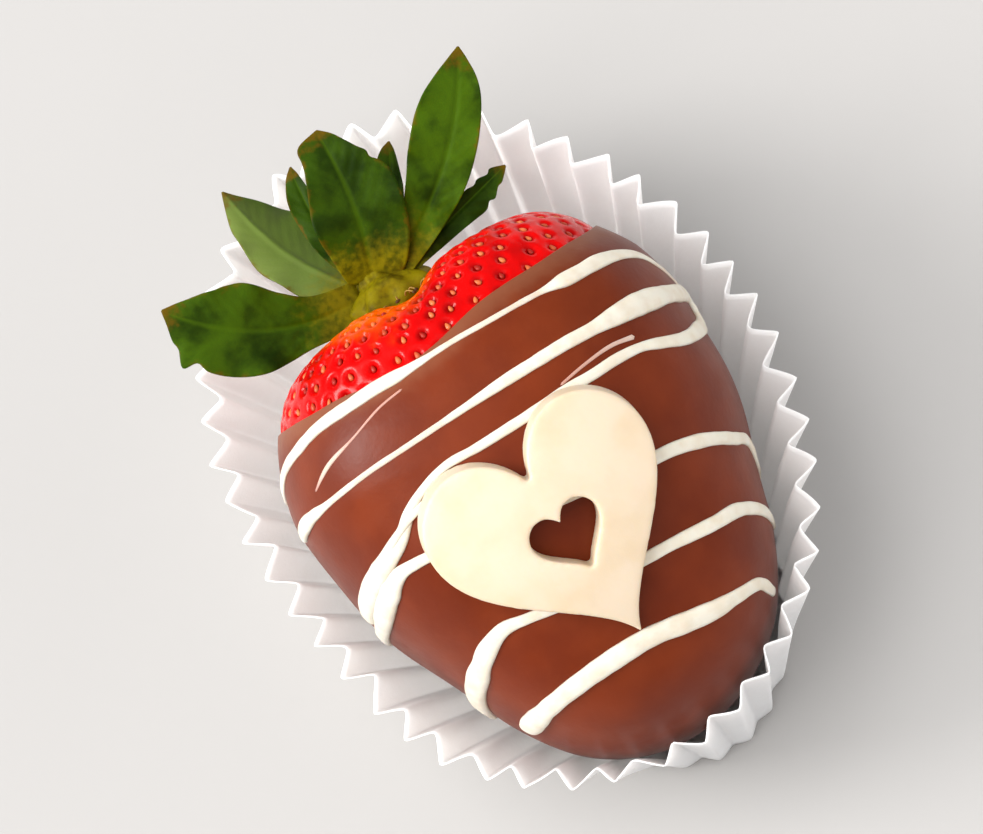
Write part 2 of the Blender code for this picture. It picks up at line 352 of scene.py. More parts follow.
def moved(points, matrix):
    """Points taken through a matrix."""
    matrix = np.array(matrix)
    return np.asarray(points) @ matrix[:3, :3].T + matrix[:3, 3]


def find_berry():
    """The matrix from upright millimetres to the berry's place in the case."""
    places = np.linspace(0, TIP_PLACE, 80)[:, None]
    lying = moved(flesh_skin(places, full_turn(64)), LIE_DOWN).reshape(-1, 3)
    low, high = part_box("strawberry")
    middle = (low + high) / 2 - Vector((lying.min(0) + lying.max(0)) / 2)
    return Matrix.Translation(middle) @ LIE_DOWN


BERRY = find_berry()
print("shoulders at", [round(x / MM, 1) for x in BERRY.translation], "mm")


def add_on_berry(name, bodies, finish, stands_for=None):
    """Bodies in the berry's own millimetres as one piece, laid down with it."""
    points, faces, values = join_bodies(bodies)
    add_piece(name, moved(points, BERRY), faces, finish, stands_for, values)


# %% [markdown]
# ## Where the chocolate ends
#
# The berry was held by its leaves and dipped, so the edge of the coat is the level of
# the melted chocolate: a plane that tilts a little, with a slight waver where it crept.
# Both the flesh and the coat need this line. The flesh carries pits only above it, and
# the coat's rings start on it.

# %% The dip line
DIP_HEIGHT = -4.3
DIP_SLOPE_ACROSS = -0.06
DIP_SLOPE_BACK = 0.13
DIP_WAVER = 0.22
DIP_SWELL = 5.0
DIP_SAG = (-3.5, 5.5, 1.3)      # across, spread and depth of a sag of the edge at the front
DIP_SEARCH = np.linspace(2.5, 8.0, 160)     # places on the profile where the edge may lie
DIP_MIDDLE_ROW = 60             # the search row that sets the waver


def dip_places(turns):
    """The place on the profile where the coat ends, for each turn round the axis."""
    skin = flesh_skin(DIP_SEARCH[:, None], turns)
    x, y, z = np.moveaxis(skin, -1, 0)
    waver = DIP_WAVER * wander(skin[DIP_MIDDLE_ROW], DIP_SWELL, seed=3)
    middle, spread, depth = DIP_SAG
    sag = depth * np.exp(-((x - middle) / spread) ** 2) * (y < 0)
    above = z - (DIP_HEIGHT + DIP_SLOPE_ACROSS * x + DIP_SLOPE_BACK * y + waver - sag)
    last = np.argmax(above < 0, axis=0) - 1
    column = np.arange(len(turns))
    high, low = above[last, column], above[last + 1, column]
    step = DIP_SEARCH[1] - DIP_SEARCH[0]
    return DIP_SEARCH[last] + step * high / (high - low)


print("the coat ends at", dip_places(full_turn(4)).round(2), "on the profile, on its four sides")

# %% [markdown]
# ## Pits and seeds
#
# What look like seeds are achenes, the real fruits of a strawberry. They sit in pits in
# the swollen red flesh, and like the scales of a cone they follow a golden-angle
# spiral. Walking down the profile and adding up the area tells how far apart the next
# one lies, so they crowd at the shoulders and spread on the belly.

# %% Where the achenes sit
GOLDEN_ANGLE = math.radians(137.508)
SEED_SPACING = (1.55, 2.35)     # under the leaves and on the belly
SEED_PLACES = (1.25, 5.0)       # places on the profile between which that spacing grows
LAST_SEED_PLACE = 8.0
SEED_CELL = math.sqrt(0.75)     # area of a six-sided cell whose spacing is 1
SEED_JITTER = 0.012


def seed_spots():
    """Profile place and turn of each achene."""
    places = np.linspace(SEED_PLACES[0], LAST_SEED_PLACE, 800)
    profile = flesh_profile(places)
    steps = np.linalg.norm(np.diff(profile, axis=0, prepend=profile[:1]), axis=1)
    spacing = np.interp(places, SEED_PLACES, SEED_SPACING)
    share = 2 * math.pi * profile[:, 0] * steps / (spacing**2 * SEED_CELL)
    count = np.cumsum(share)
    numbers = np.arange(int(count[-1]))
    chance = np.random.default_rng(5)
    turns = numbers * GOLDEN_ANGLE + chance.normal(0, SEED_JITTER, len(numbers))
    return np.interp(numbers + 0.5, count, places), turns % (2 * math.pi)


def beside_spots(places, turns):
    """The skin at spots, and its directions outwards and down towards the tip."""
    nudge = 0.02
    here, lower, further = (
        np.diagonal(flesh_skin((places + a)[:, None], turns + b)).T
        for a, b in ((0, 0), (nudge, 0), (0, nudge)))
    down = unit(lower - here)
    return here, unit(np.cross(down, further - here)), down


seed_places, seed_turns = seed_spots()
seed_points, seed_outward, seed_down = beside_spots(seed_places, seed_turns)
print(len(seed_points), "achenes on the upper part of the berry")

# %% [markdown]
# ## Red flesh
#
# The skin between the achenes is puffed up and shines like lacquer, which is what makes
# a strawberry sparkle. A bump map would leave the outline smooth, so the pits are real:
# each point of the mesh looks up its nearest achene and sinks by how near that is. The
# mesh also carries two numbers for its finish: how deep a point lies in a pit, and how
# near it is to the leaves, where the skin stays orange. Under the coat, where nothing
# shows, the rings are few and the pits fade out.

# %% The flesh's rings
FLESH_COLUMNS = 560
FLESH_FINE_ROWS = 124
FLESH_COARSE_ROWS = 14
FLESH_TOP_PLACE = 0.12          # the first ring, beside the pole
FLESH_UNDER_COAT = 0.45         # the fine rings run on that far under the coat
FLESH_CROWDING = 0.9            # below 1 the rings crowd towards the coat's edge
PIT_DEPTH = 0.46
PIT_RADIUS = 0.52
PIT_SQUARENESS = 2.6
PIT_FADE = 0.35                 # the pits die away that far under the coat
PUFF_HEIGHT = 0.05
PUFF_SIZE = 1.1
ORANGE_MIDDLE = -2.4            # the skin round this spot under the leaves is less ripe
ORANGE_STRETCH = 0.55
ORANGE_REACH = (5.8, 9.4)
ORANGE_FOOT = -8.0


def flesh_places(edge):
    """Places of the rings: close together down to the coat's edge, far apart under it."""
    share = np.linspace(0, 1, FLESH_FINE_ROWS)[:, None]
    share = share**FLESH_CROWDING
    fine = FLESH_TOP_PLACE + (edge + FLESH_UNDER_COAT - FLESH_TOP_PLACE) * share
    share = np.linspace(0, 1, FLESH_COARSE_ROWS + 2)[1:-1, None]
    return np.vstack([fine, between((fine[-1], TIP_PLACE), share)])


def sink_pits(rings, strength):
    """The rings with their pits, and how deep each point lies in one."""
    tree = KDTree(len(seed_points))
    for number, point in enumerate(seed_points):
        tree.insert(point, number)
    tree.balance()
    flat = rings.reshape(-1, 3)
    near = np.array([tree.find(point)[2] for point in flat]).reshape(rings.shape[:2])
    pit = np.exp(-(near / PIT_RADIUS) ** PIT_SQUARENESS) * strength
    puff = PUFF_HEIGHT * wander(rings, PUFF_SIZE, seed=8) * strength
    return rings + facing(rings) * (puff - PIT_DEPTH * pit)[..., None], pit


# %% The flesh as a piece
def make_flesh(finish):
    turns = full_turn(FLESH_COLUMNS)
    edge = dip_places(turns)
    places = flesh_places(edge)
    rings = flesh_skin(places, turns)
    pitted, pit = sink_pits(rings, np.clip(1 - (places - edge) / PIT_FADE, 0, 1))
    from_crown = np.hypot(rings[..., 0] - ORANGE_MIDDLE, rings[..., 1] * ORANGE_STRETCH)
    near_leaves = np.interp(from_crown, ORANGE_REACH, (1, 0)) * (rings[..., 2] > ORANGE_FOOT)
    poles = flesh_skin(np.array([[0.0], [float(TIP_PLACE)]]), turns[:1])[:, 0]
    points, faces = round_body(pitted, *poles)
    values = {"pit": [*pit.ravel(), 0, 0], "near_leaves": [*near_leaves.ravel(), 0, 0]}
    body = points, faces, values
    add_on_berry("berry_flesh", [body], finish, "strawberry")


# %% [markdown]
# ### Wet red skin
#
# Ripe skin could be one flat red under a strong gloss, but that looks like plastic. Real
# skin is a clear film over flesh that lets light in. So here a little light wanders
# under the surface, the red deepens in patches of its own, the pits get a deeper red as
# painted shade, it fades to orange by the leaves, and a thin clear coat lies over an
# uneven shine.

# %% Finish of the flesh
FLESH_RED = paint(205, 2, 2)
# deep red: the skin's own tone in patches, and painted shade in the pits
FLESH_DEEP_AND_PIT_SHADE = paint(136, 1, 2)
FLESH_ORANGE = paint(214, 84, 0)


def wet_red_skin(place):
    """Red, deeper in patches, with painted shade in the pits, and orange by the leaves."""
    patches = place.grain(4.0).rise(0.35, 0.7)
    # patches deepen the red at random; the pit depth adds the deep red there as painted shade
    red = (patches * 0.55 + place.carried("pit") * 0.6).mix(FLESH_RED, FLESH_DEEP_AND_PIT_SHADE)
    unripe = place.carried("near_leaves") + (place.grain(1.2) - 0.5) * 0.5
    return {
        "Base Color": unripe.rise(0.15, 0.75).mix(red, FLESH_ORANGE),
        "Roughness": 0.16 + place.grain(0.8) * 0.16,
        "Normal": place.grain(0.28, 2.0).bump(0.012),
        "Coat Weight": 0.1,
        "Coat Roughness": 0.08,
        "Specular IOR Level": 0.17,
        **glow(0.15, (1.0, 0.25, 0.15)),
    }


make_flesh(make_finish("wet_red_skin", wet_red_skin))

# %% [markdown]
# ## The achenes
#
# Each achene is a drop-shaped seed hardly a millimetre long, with its point towards the
# leaves. Particles or instances could scatter them, but a plain mesh is what every
# exporter keeps. So one small drop is modelled, a copy of its points is turned into
# every pit that shows, and all are joined in one mesh. Each carries its own number
# between 0 and 1, so that the finish can make some straw yellow and others as brown as
# toast.

# %% One drop, and its copies in the pits
SEED_BOX = (0.78, 0.46, 0.36)   # length, width and height
SEED_SIZES = (0.85, 1.12)
SEED_TWIST = 0.15
SEED_SINK = 0.24                # its middle lies this far below the smooth skin
SEED_SEGMENTS = 10
SEED_RINGS = 6
SEED_TAPER = 0.38               # its lower end is fatter by about that share
SEEDS_UNDER_LIP = 0.05          # the last ones lie half under the coat's lip


def drop_shape():
    """Points and faces of a drop along +X, one long, one wide and one high."""
    turns = full_turn(SEED_SEGMENTS)
    along = np.linspace(0, math.pi, SEED_RINGS + 2)[1:-1, None]
    girth = np.sin(along) * (1 - SEED_TAPER * np.cos(along))
    rings = as_points(-np.cos(along) / 2, girth * np.cos(turns) / 2, girth * np.sin(turns) / 2)
    return round_body(rings, (-0.5, 0, 0), (0.5, 0, 0))


def make_achenes(finish):
    drop, drop_faces = drop_shape()
    edge = dip_places(seed_turns)
    chance = np.random.default_rng(9)
    bodies = []
    for number in np.flatnonzero(seed_places < edge + SEEDS_UNDER_LIP):
        size = chance.uniform(*SEED_SIZES)
        out, down = seed_outward[number], seed_down[number]
        down = unit(down + np.cross(out, down) * chance.normal(0, SEED_TWIST))
        turned = np.stack([down, np.cross(out, down), out])
        body = drop * SEED_BOX * size @ turned + seed_points[number] - out * SEED_SINK
        bodies.append((body, drop_faces, {"tint": [chance.uniform()] * len(drop)}))
    print(len(bodies), "achenes show above the chocolate")
    add_on_berry("achenes", bodies, finish)


# %% Finish of the achenes
SEED_STRAW = paint(206, 105, 54)
SEED_TOAST = paint(152, 27, 13)


def achene_skin(place):
    """Straw yellow on some, toast brown on others, and dry."""
    return {
        "Base Color": place.carried("tint").rise(0.1, 0.9).mix(SEED_STRAW, SEED_TOAST),
        "Roughness": 0.3 + place.grain(0.3) * 0.2,
        "Normal": place.grain(0.12, 1.0).bump(0.02),
    }


make_achenes(make_finish("achene", achene_skin))

# %% [markdown]
# ## The milk chocolate coat
#
# A dipped coat is not one thickness. It ends in a thin soft lip at the shoulders, where
# the red shines through a little, and the chocolate runs down before it sets, so the
# coat thickens all the way to the tip. It is made as one grid: up the outside from the
# tip, over the rounded lip, and back down the inside against the flesh. Swells of a
# tenth of a millimetre bend the reflection the way set chocolate does. Where the berry
# lay on the board the coat is flat.

# %% The coat's rings
COAT_COLUMNS = 400
COAT_ROWS = 170
COAT_INNER_STEP = 10
COAT_LAST_SHARE = 0.995         # the last ring lies just beside the tip
LIP_ROWS = 9
COAT_THICKNESS = ((0, 0.34), (4, 1.08), (9, 1.55), (20, 1.7), (32, 2.1), (44, 2.3), (52, 2.75))
LIP_BULGE = 0.8
LIP_REACH = 3.5                 # the coat looks thin that far from its edge
COAT_INSIDE = 0.08
COAT_SWELLS = ((9.0, 0.10), (3.2, 0.035), (1.2, 0.006))
COAT_FOOT = 0.25 * MM           # height of the flat that it set on


def coat_rings():
    """Rings of the coat's outside from the lip to the tip, and of the lip and inside."""
    turns = full_turn(COAT_COLUMNS)
    share = np.linspace(0, COAT_LAST_SHARE, COAT_ROWS)[:, None]
    skin = flesh_skin(between((dip_places(turns), TIP_PLACE), share), turns)
    outward = facing(skin)
    steps = np.linalg.norm(np.diff(skin, axis=0, prepend=skin[:1]), axis=-1)
    thickness = np.interp(np.cumsum(steps, axis=0), *zip(*COAT_THICKNESS))
    for number, (size, depth) in enumerate(COAT_SWELLS):
        thickness = thickness + depth * wander(skin, size, seed=20 + number)
    near_lip = np.clip(1 - np.cumsum(steps, axis=0) / LIP_REACH, 0, 1)
    outside = skin + outward * thickness[..., None]
    inside = skin + outward * COAT_INSIDE

    up = unit(skin[0] - skin[1])
    half = (thickness[0] - COAT_INSIDE)[:, None] / 2
    middle = skin[0] + outward[0] * (half + COAT_INSIDE)
    lip = []
    for bend in np.linspace(0, math.pi, LIP_ROWS + 2)[1:-1]:
        out, over = math.cos(bend), LIP_BULGE * math.sin(bend)
        lip.append(middle + outward[0] * half * out + up * half * over)
    return outside, np.array(lip), inside[::COAT_INNER_STEP], near_lip


coat_outside, coat_lip, coat_inside, near_lip = coat_rings()
print("the coat is", round(np.ptp(coat_outside[..., 0]), 1), "mm wide")


# %% The coat as a piece
def make_coat(finish):
    rings = np.vstack([coat_outside[::-1], coat_lip, coat_inside])
    end = coat_outside[-1].mean(0) - (0, 0, 0.02)
    points, faces = round_body(rings, end, coat_inside[-1].mean(0))
    points = moved(points, BERRY)
    points[:, 2] = np.maximum(points[:, 2], COAT_FOOT)
    lip = np.ones(len(points))
    lip[:near_lip.size] = near_lip[::-1].ravel()
    add_piece("chocolate_shell", points, faces, finish,
              "chocolate_coat", {"lip": lip})


# %% [markdown]
# ### Set milk chocolate
#
# Tempered chocolate is satin: it blurs what it mirrors. Its brown is nearly even, with
# soft clouds where it set sooner, and it is paler where the lip is thin. A smooth brown
# surface would show the window as one hard patch, so relief on two scales, a few
# hundredths of a millimetre high, breaks the sheen up.

# %% Finish of the milk chocolate
MILK_CHOCOLATE = paint(112, 42, 12)
MILK_CHOCOLATE_DEEP = paint(97, 33, 8)
MILK_CHOCOLATE_THIN = paint(126, 77, 52)


def set_milk_chocolate(place):
    """Satin brown with soft clouds in it, and paler where the lip is thin."""
    brown = place.grain(7.0, 4.0).rise(0.3, 0.72).mix(MILK_CHOCOLATE_DEEP, MILK_CHOCOLATE)
    thin = (place.carried("lip") + (place.grain(1.5) - 0.5) * 0.4).rise(0.2, 1.0) * 0.7
    return {
        "Base Color": thin.mix(brown, MILK_CHOCOLATE_THIN),
        "Roughness": 0.33 + place.grain(2.5) * 0.16,
        "Normal": (place.grain(0.5) * 0.4 + place.grain(2.0) * 0.6).bump(0.03),
        "Specular IOR Level": 0.27,
        **glow(0.08, (0.8, 0.35, 0.2)),
    }


make_coat(make_finish("set_milk_chocolate", set_milk_chocolate))

# %% [markdown]
# ## The drizzle
#
# Ivory white chocolate is trailed from a spoon or a paper cone, to and fro across the
# berry, before the coat has cooled. A strand is flat-bottomed and round-topped, swells
# where the hand slows down, and runs on down the side past the widest line. Each one
# is written as a few stops: how far across the face, how far down from the shoulders,
# and how wide. The stops are dropped onto the coat, a smooth route is drawn through
# them, and a bead of that width is laid along it. Where a strand crosses an earlier one
# it rides over it.

# %% The strands, in millimetres across, down and wide
STRANDS = {
    "shoulder": (
        ((-20.0, 7.3, 1.0), (-18.6, 6.1, 1.15), (-16.4, 5.3, 1.25),
         (-13.7, 4.8, 1.3), (-10.2, 4.9, 1.35), (-6.9, 5.1, 1.45), (-4.7, 5.4, 1.35),
         (-2.5, 5.6, 0.8), (1.3, 5.9, 0.62), (5.1, 6.4, 0.6), (8.3, 6.8, 0.6),
         (10.9, 7.2, 0.75), (12.5, 7.5, 1.5), (14.6, 7.8, 1.65), (16.7, 8.1, 1.6),
         (18.8, 8.9, 1.2), (20.1, 10.1, 0.9), (20.7, 11.4, 0.7)), 16, 24),
    "upper_loop": (
        ((-21.3, 12.3, 0.9), (-20.4, 11.5, 1.5), (-19.2, 11.1, 1.3), (-17.4, 11.0, 0.7),
         (-14.8, 10.9, 0.6), (-11.9, 10.9, 0.58), (-8.5, 11.1, 0.55), (-4.8, 11.3, 0.6),
         (-1.1, 11.5, 0.8), (2.6, 11.7, 1.1), (6.2, 12.0, 1.25), (9.4, 12.3, 1.3),
         (12.1, 12.7, 1.4), (14.4, 13.0, 1.9), (16.4, 13.3, 2.3), (18.4, 13.8, 2.2),
         (20.3, 14.6, 1.9), (21.3, 16.2, 1.8), (21.1, 17.8, 1.7), (20.0, 18.7, 1.6),
         (18.4, 18.5, 1.4), (16.6, 17.6, 1.2), (14.9, 16.8, 1.0), (12.4, 16.3, 1.05),
         (9.6, 16.1, 1.1), (6.8, 15.8, 1.1), (4.6, 15.7, 1.1), (0.7, 15.4, 1.0),
         (-2.9, 15.1, 0.9), (-6.4, 14.7, 0.85), (-9.2, 15.2, 0.85), (-11.5, 16.1, 1.0),
         (-13.1, 17.3, 1.5), (-15.3, 18.3, 1.9), (-17.5, 19.2, 2.3), (-19.1, 20.1, 2.4),
         (-20.1, 21.0, 2.2), (-20.6, 22.0, 1.7)), 0, 0),
    "beside_loop": (
        ((-3.6, 16.4, 0.5), (-6.9, 16.3, 0.55), (-9.2, 16.2, 0.6), (-11.2, 16.5, 0.7),
         (-13.2, 17.1, 0.8), (-14.7, 17.7, 0.9)), 0, 0),
    "belly": (
        ((-20.6, 24.1, 1.6), (-19.9, 23.1, 2.0), (-18.7, 22.0, 2.4), (-17.3, 21.0, 2.3),
         (-15.7, 20.2, 1.5), (-13.7, 20.3, 1.1), (-11.5, 20.7, 1.05), (-8.6, 21.3, 1.05),
         (-5.5, 22.1, 1.1), (-2.5, 22.8, 1.1), (2.7, 24.1, 1.2), (7.7, 25.4, 1.3),
         (11.2, 26.0, 1.4), (14.2, 27.1, 1.4), (16.6, 28.7, 1.25), (17.6, 30.0, 1.15),
         (17.6, 31.6, 1.0)), 10, 12),
    "lower": (
        ((-17.2, 35.0, 2.1), (-16.7, 33.3, 2.4), (-15.2, 31.9, 2.3), (-13.2, 30.6, 1.9),
         (-10.9, 30.0, 1.4), (-8.7, 30.5, 1.1), (-4.3, 31.7, 1.0), (-0.4, 32.2, 1.0),
         (5.4, 32.9, 1.2), (10.7, 33.9, 1.4), (12.8, 34.2, 1.4), (14.4, 35.2, 1.3),
         (15.0, 37.1, 1.1)), 10, 8),
    "tip": (
        ((-14.6, 38.9, 2.2), (-12.1, 38.4, 2.0), (-8.6, 38.2, 2.0), (-4.4, 38.3, 2.15),
         (-0.4, 38.7, 2.15), (3.3, 39.7, 2.1), (5.8, 40.3, 1.9), (8.2, 40.6, 1.45),
         (10.5, 41.0, 1.25), (11.0, 42.1, 1.1)), 4, 6),
    "thread_left": (
        ((-5.2, 6.6, 0.22), (-7.7, 6.7, 0.25), (-11.5, 7.5, 0.25), (-15.3, 8.3, 0.5),
         (-17.4, 9.4, 0.2)), 0, 0),
    "thread_loop": (
        ((14.9, 15.6, 0.5), (12.7, 15.0, 0.4), (9.9, 14.9, 0.3), (6.7, 15.1, 0.25)), 0, 0),
}
FACE_TILT = math.radians(7.3)   # the strands fell square to the face, a little tipwards
FACE_DOWN = np.array((0, math.sin(FACE_TILT), -math.cos(FACE_TILT)))
POURED = np.array((0, math.cos(FACE_TILT), math.sin(FACE_TILT)))
STRAND_REACH = 60.0             # the strands are dropped from this far above
RUN_SLOPE = 12                  # most rise or fall of a run-on, in millimetres a radian
RUN_LEVELLING = 0.4             # share of its slope that a run-on loses
RUN_THINNING = 0.15
GIRTH = 19.0                    # radius that turns degrees round the berry into length
print(len(STRANDS), "strands and threads")


# %% Dropping stops onto the coat
def skin_tree(rings):
    """A search tree over the faces of open rings."""
    points, faces = round_body(rings, rings[0].mean(0), rings[-1].mean(0))
    faces = faces[:-2 * rings.shape[1]]
    return BVHTree.FromPolygons(points.tolist(), faces)


coat_tree = skin_tree(coat_outside)


def drop_on_coat(across, down):
    """Turn round the berry and height, where a drop lands; one that misses moves in."""
    landed = None
    while landed is None:
        origin = np.array((across, 0, 0)) + FACE_DOWN * down - POURED * STRAND_REACH
        landed = coat_tree.ray_cast(origin, POURED)[0]
        across *= 0.99
    return math.atan2(landed.x, -landed.y), landed.z


def run_on(stops, degrees):
    """Adds two stops past the last one, further round the side of the berry."""
    (turn, height, width), before = stops[-1], stops[-2]
    side = math.copysign(1, turn)
    slope = (height - before[1]) / max(abs(turn - before[0]), 0.05)
    slope = max(min(slope, RUN_SLOPE), -RUN_SLOPE)
    for share in (0.5, 1.0):
        further = math.radians(degrees) * share
        drop = slope * further * (1 - RUN_LEVELLING * share)
        stops.append((turn + side * further, height + drop, width * (1 - RUN_THINNING * share)))
    return stops


def strand_stops(stops, left, right):
    """Turn, height and width of each stop, with its ends run down the sides."""
    placed = [(*drop_on_coat(across, down), width) for across, down, width in stops]
    if right:
        placed = run_on(placed, right)
    if left:
        placed = run_on(placed[::-1], left)[::-1]
    return placed


# %% A smooth route and the coat under it
STRAND_STEP = 0.22
WELL_OUTSIDE = 40.0             # a distance from the berry's axis that is past its coat


def even_route(stops, step):
    """Evenly spaced points on a smooth curve through unevenly spaced stops."""
    stops = np.asarray(stops, float) * (GIRTH, 1, 1)
    lengths = np.linalg.norm(np.diff(stops[:, :2], axis=0), axis=1)
    marks = np.concatenate([[0], np.cumsum(lengths)])
    slopes = np.gradient(stops, marks, axis=0)
    wanted = np.linspace(0, marks[-1], int(marks[-1] / step) + 2)
    span = np.clip(np.searchsorted(marks, wanted, "right") - 1, 0, len(lengths) - 1)
    length = lengths[span][:, None]
    t = (wanted - marks[span])[:, None] / length
    start, end = stops[span], stops[span + 1]
    leave, arrive = slopes[span] * length, slopes[span + 1] * length
    curve = (start * (1 + 2 * t) + leave * t) * (1 - t) ** 2
    curve += (end * (3 - 2 * t) + arrive * (t - 1)) * t**2
    return curve / (GIRTH, 1, 1)


def even_out(values, count):
    """A running mean that keeps the ends."""
    padded = np.pad(values, [(count, count)] + [(0, 0)] * (values.ndim - 1), "edge")
    window = [padded[k:k + len(values)] for k in range(2 * count + 1)]
    return np.mean(window, axis=0)


def coat_under(route):
    """Points of the coat under a route, and the way out from each."""
    points, outward = [], []
    for turn, height, _ in route:
        away = Vector((math.sin(turn), -math.cos(turn), 0))
        origin = away * WELL_OUTSIDE + Vector((0, 0, height))
        spot, normal, _, _ = coat_tree.ray_cast(origin, -away)
        points.append(spot)
        outward.append(normal if normal.dot(away) > 0 else -normal)
    return np.array(points), unit(even_out(np.array(outward), 4))


# %% A bead along the route
BEAD_POINTS = 11                # points over the top of a strand
BEAD_ROUNDNESS = 2.4            # 2 is an ellipse, more is flatter on top
BEAD_FOOT = 0.12                # depth that it sinks into the coat
BEAD_FOOT_WIDTH = 0.85
BEAD_RISE = 0.27                # height over width
BEAD_SWELLS = ((0.10, 1.6), (0.14, 1.1))    # unevenness and its size, in width and height
BEAD_BLUNTNESS = 0.995          # a bit less than 1 leaves a ring at the very end
THIN_HALF_WIDTHS = (0.125, 0.375)           # between these it comes to hide the coat
RIDE_OVER = 0.8                 # share of a crossed strand that the next one climbs
RIDE_SEARCH = 4.0               # a crossed strand is looked for from this high


def bead_section():
    """Across and up, from -1 to 1 and 0 to 1, over the top of a strand."""
    bend = np.linspace(-math.pi / 2, math.pi / 2, BEAD_POINTS)
    across = np.sign(bend) * abs(np.sin(bend)) ** (2 / BEAD_ROUNDNESS)
    return across, np.clip(np.cos(bend), 0, 1) ** (2 / BEAD_ROUNDNESS)


def climb(centres, outward, crossed):
    """How high the strands already laid stand under each centre."""
    if crossed is None:
        return np.zeros(len(centres))
    heights = []
    for centre, out in zip(centres, outward):
        above = Vector(centre + out * RIDE_SEARCH)
        spot = crossed.ray_cast(above, Vector(-out), RIDE_SEARCH)[0]
        heights.append(0 if spot is None else (np.array(spot) - centre) @ out)
    return even_out(even_out(np.array(heights), 4), 4) * RIDE_OVER


def bead_sizes(route, centres, seed):
    """Half width and height of a strand at each centre, and how its ends taper."""
    length = np.arange(len(route)) * STRAND_STEP
    from_end = np.minimum(length, length[-1] - length)
    (width_swell, width_size), (rise_swell, rise_size) = BEAD_SWELLS
    half = route[:, 2] / 2 * (1 + width_swell * wander(centres, width_size, seed))
    rise = 2 * half * BEAD_RISE * (1 + rise_swell * wander(centres, rise_size, seed + 1))
    taper = np.clip(1 - from_end / half, 0, 1)
    return half, rise, np.sqrt(1 - taper**2 * BEAD_BLUNTNESS)


def lay_bead(stops, crossed, seed):
    """Points, faces and thinness of one strand."""
    route = even_route(stops, STRAND_STEP)
    centres, outward = coat_under(route)
    along = unit(np.gradient(even_out(centres, 2), axis=0))
    side = unit(np.cross(along, outward))
    half, rise, taper = bead_sizes(route, centres, seed)
    centres = centres + outward * climb(centres, outward, crossed)[:, None]
    across, up = bead_section()
    spread = (side * (half * taper)[:, None])[:, None] * across[:, None]
    height = (outward * (rise * taper)[:, None])[:, None] * up[:, None]
    top = centres[:, None] + spread + height
    foot = (centres - outward * BEAD_FOOT)[:, None] + spread[:, [-1, 0]] * BEAD_FOOT_WIDTH
    rings = np.concatenate([top, foot], axis=1)
    thin = np.interp(half, THIN_HALF_WIDTHS, (1, 0))
    points, faces = round_body(rings, centres[0] - along[0] * 0.01, centres[-1] + along[-1] * 0.01)
    return points, faces, {"thin": [*np.repeat(thin, rings.shape[1]), thin[0], thin[-1]]}


# %% The drizzle as a piece
def make_drizzle(finish):
    beads, crossed = [], None
    for number, (stops, left, right) in enumerate(STRANDS.values()):
        placed = strand_stops(stops, left, right)
        beads.append(lay_bead(placed, crossed, seed=40 + 2 * number))
        points, faces, _ = join_bodies(beads)
        crossed = BVHTree.FromPolygons(points.tolist(), faces)
    add_on_berry("drizzle", beads, finish)


# %% [markdown]
# ### Ivory
#
# White chocolate lets light in, and a plain white would look like paint. Light that
# wanders under the surface softens the shading across each strand. Where a thread is
# thinner than about half a millimetre, the brown below shows through. Real transparency
# would be slow and noisy, so the mesh carries how thin it is, and the colour follows.

# %% Finish of the drizzle
IVORY = paint(218, 212, 197)
IVORY_WARM = paint(210, 198, 178)
IVORY_THIN = paint(183, 134, 120)


def ivory_drizzle(place):
    """Ivory with warm clouds, and pinkish where a thread is thin."""
    ivory = place.grain(1.8).rise(0.3, 0.75).mix(IVORY, IVORY_WARM)
    return {
        "Base Color": place.carried("thin").mix(ivory, IVORY_THIN),
        "Roughness": 0.34 + place.grain(0.8) * 0.2,
        "Normal": place.grain(0.35).bump(0.025),
        **glow(0.25, (0.9, 0.6, 0.35)),
    }


make_drizzle(make_finish("ivory_drizzle", ivory_drizzle))

# %% [markdown]
# ## The white chocolate heart
#
# The heart is cast in a mould, so its face is flat, its edges are soft and its sides
# are plain, and it is pressed on while the coat is wet. It starts as two heart outlines,
# the outer one and a small window, joined by strips over and under. The points of its
# underside are dropped onto the coat, so that it sits down all round. Remeshing that
# sharp body into small even cells and smoothing it rounds every edge at once, also in
# the cleft and at the point, where a bevel would cross itself.

# %% The heart's outline
HEART_WIDTH = 23.6
HEART_HEIGHT = 22.8
HEART_THICKNESS = 2.9
HEART_PLACE = Vector((-0.9, -17.3, -29.2))
HEART_LEAN = math.radians(19.5)
HEART_DOMING = 36.0
HEART_WINDOW = 0.30
HEART_POINTS = 160
HEART_STRIPS = 8
HEART_SINK = 0.1                # its underside sinks this far into the coat
HEART_CELL = 0.2
HEART_SMOOTHING = 14


def heart_ring(size):
    """The usual heart curve, upright and that share of full size."""
    turn = 2 * math.pi * (np.arange(HEART_POINTS) + 0.5) / HEART_POINTS
    across = np.sin(turn) ** 3 / 2
    up = 13 * np.cos(turn) - 5 * np.cos(2 * turn) - 2 * np.cos(3 * turn) - np.cos(4 * turn)
    up = (up - (up.max() + up.min()) / 2) / np.ptp(up)
    return np.stack([across * HEART_WIDTH, up * HEART_HEIGHT], -1) * size


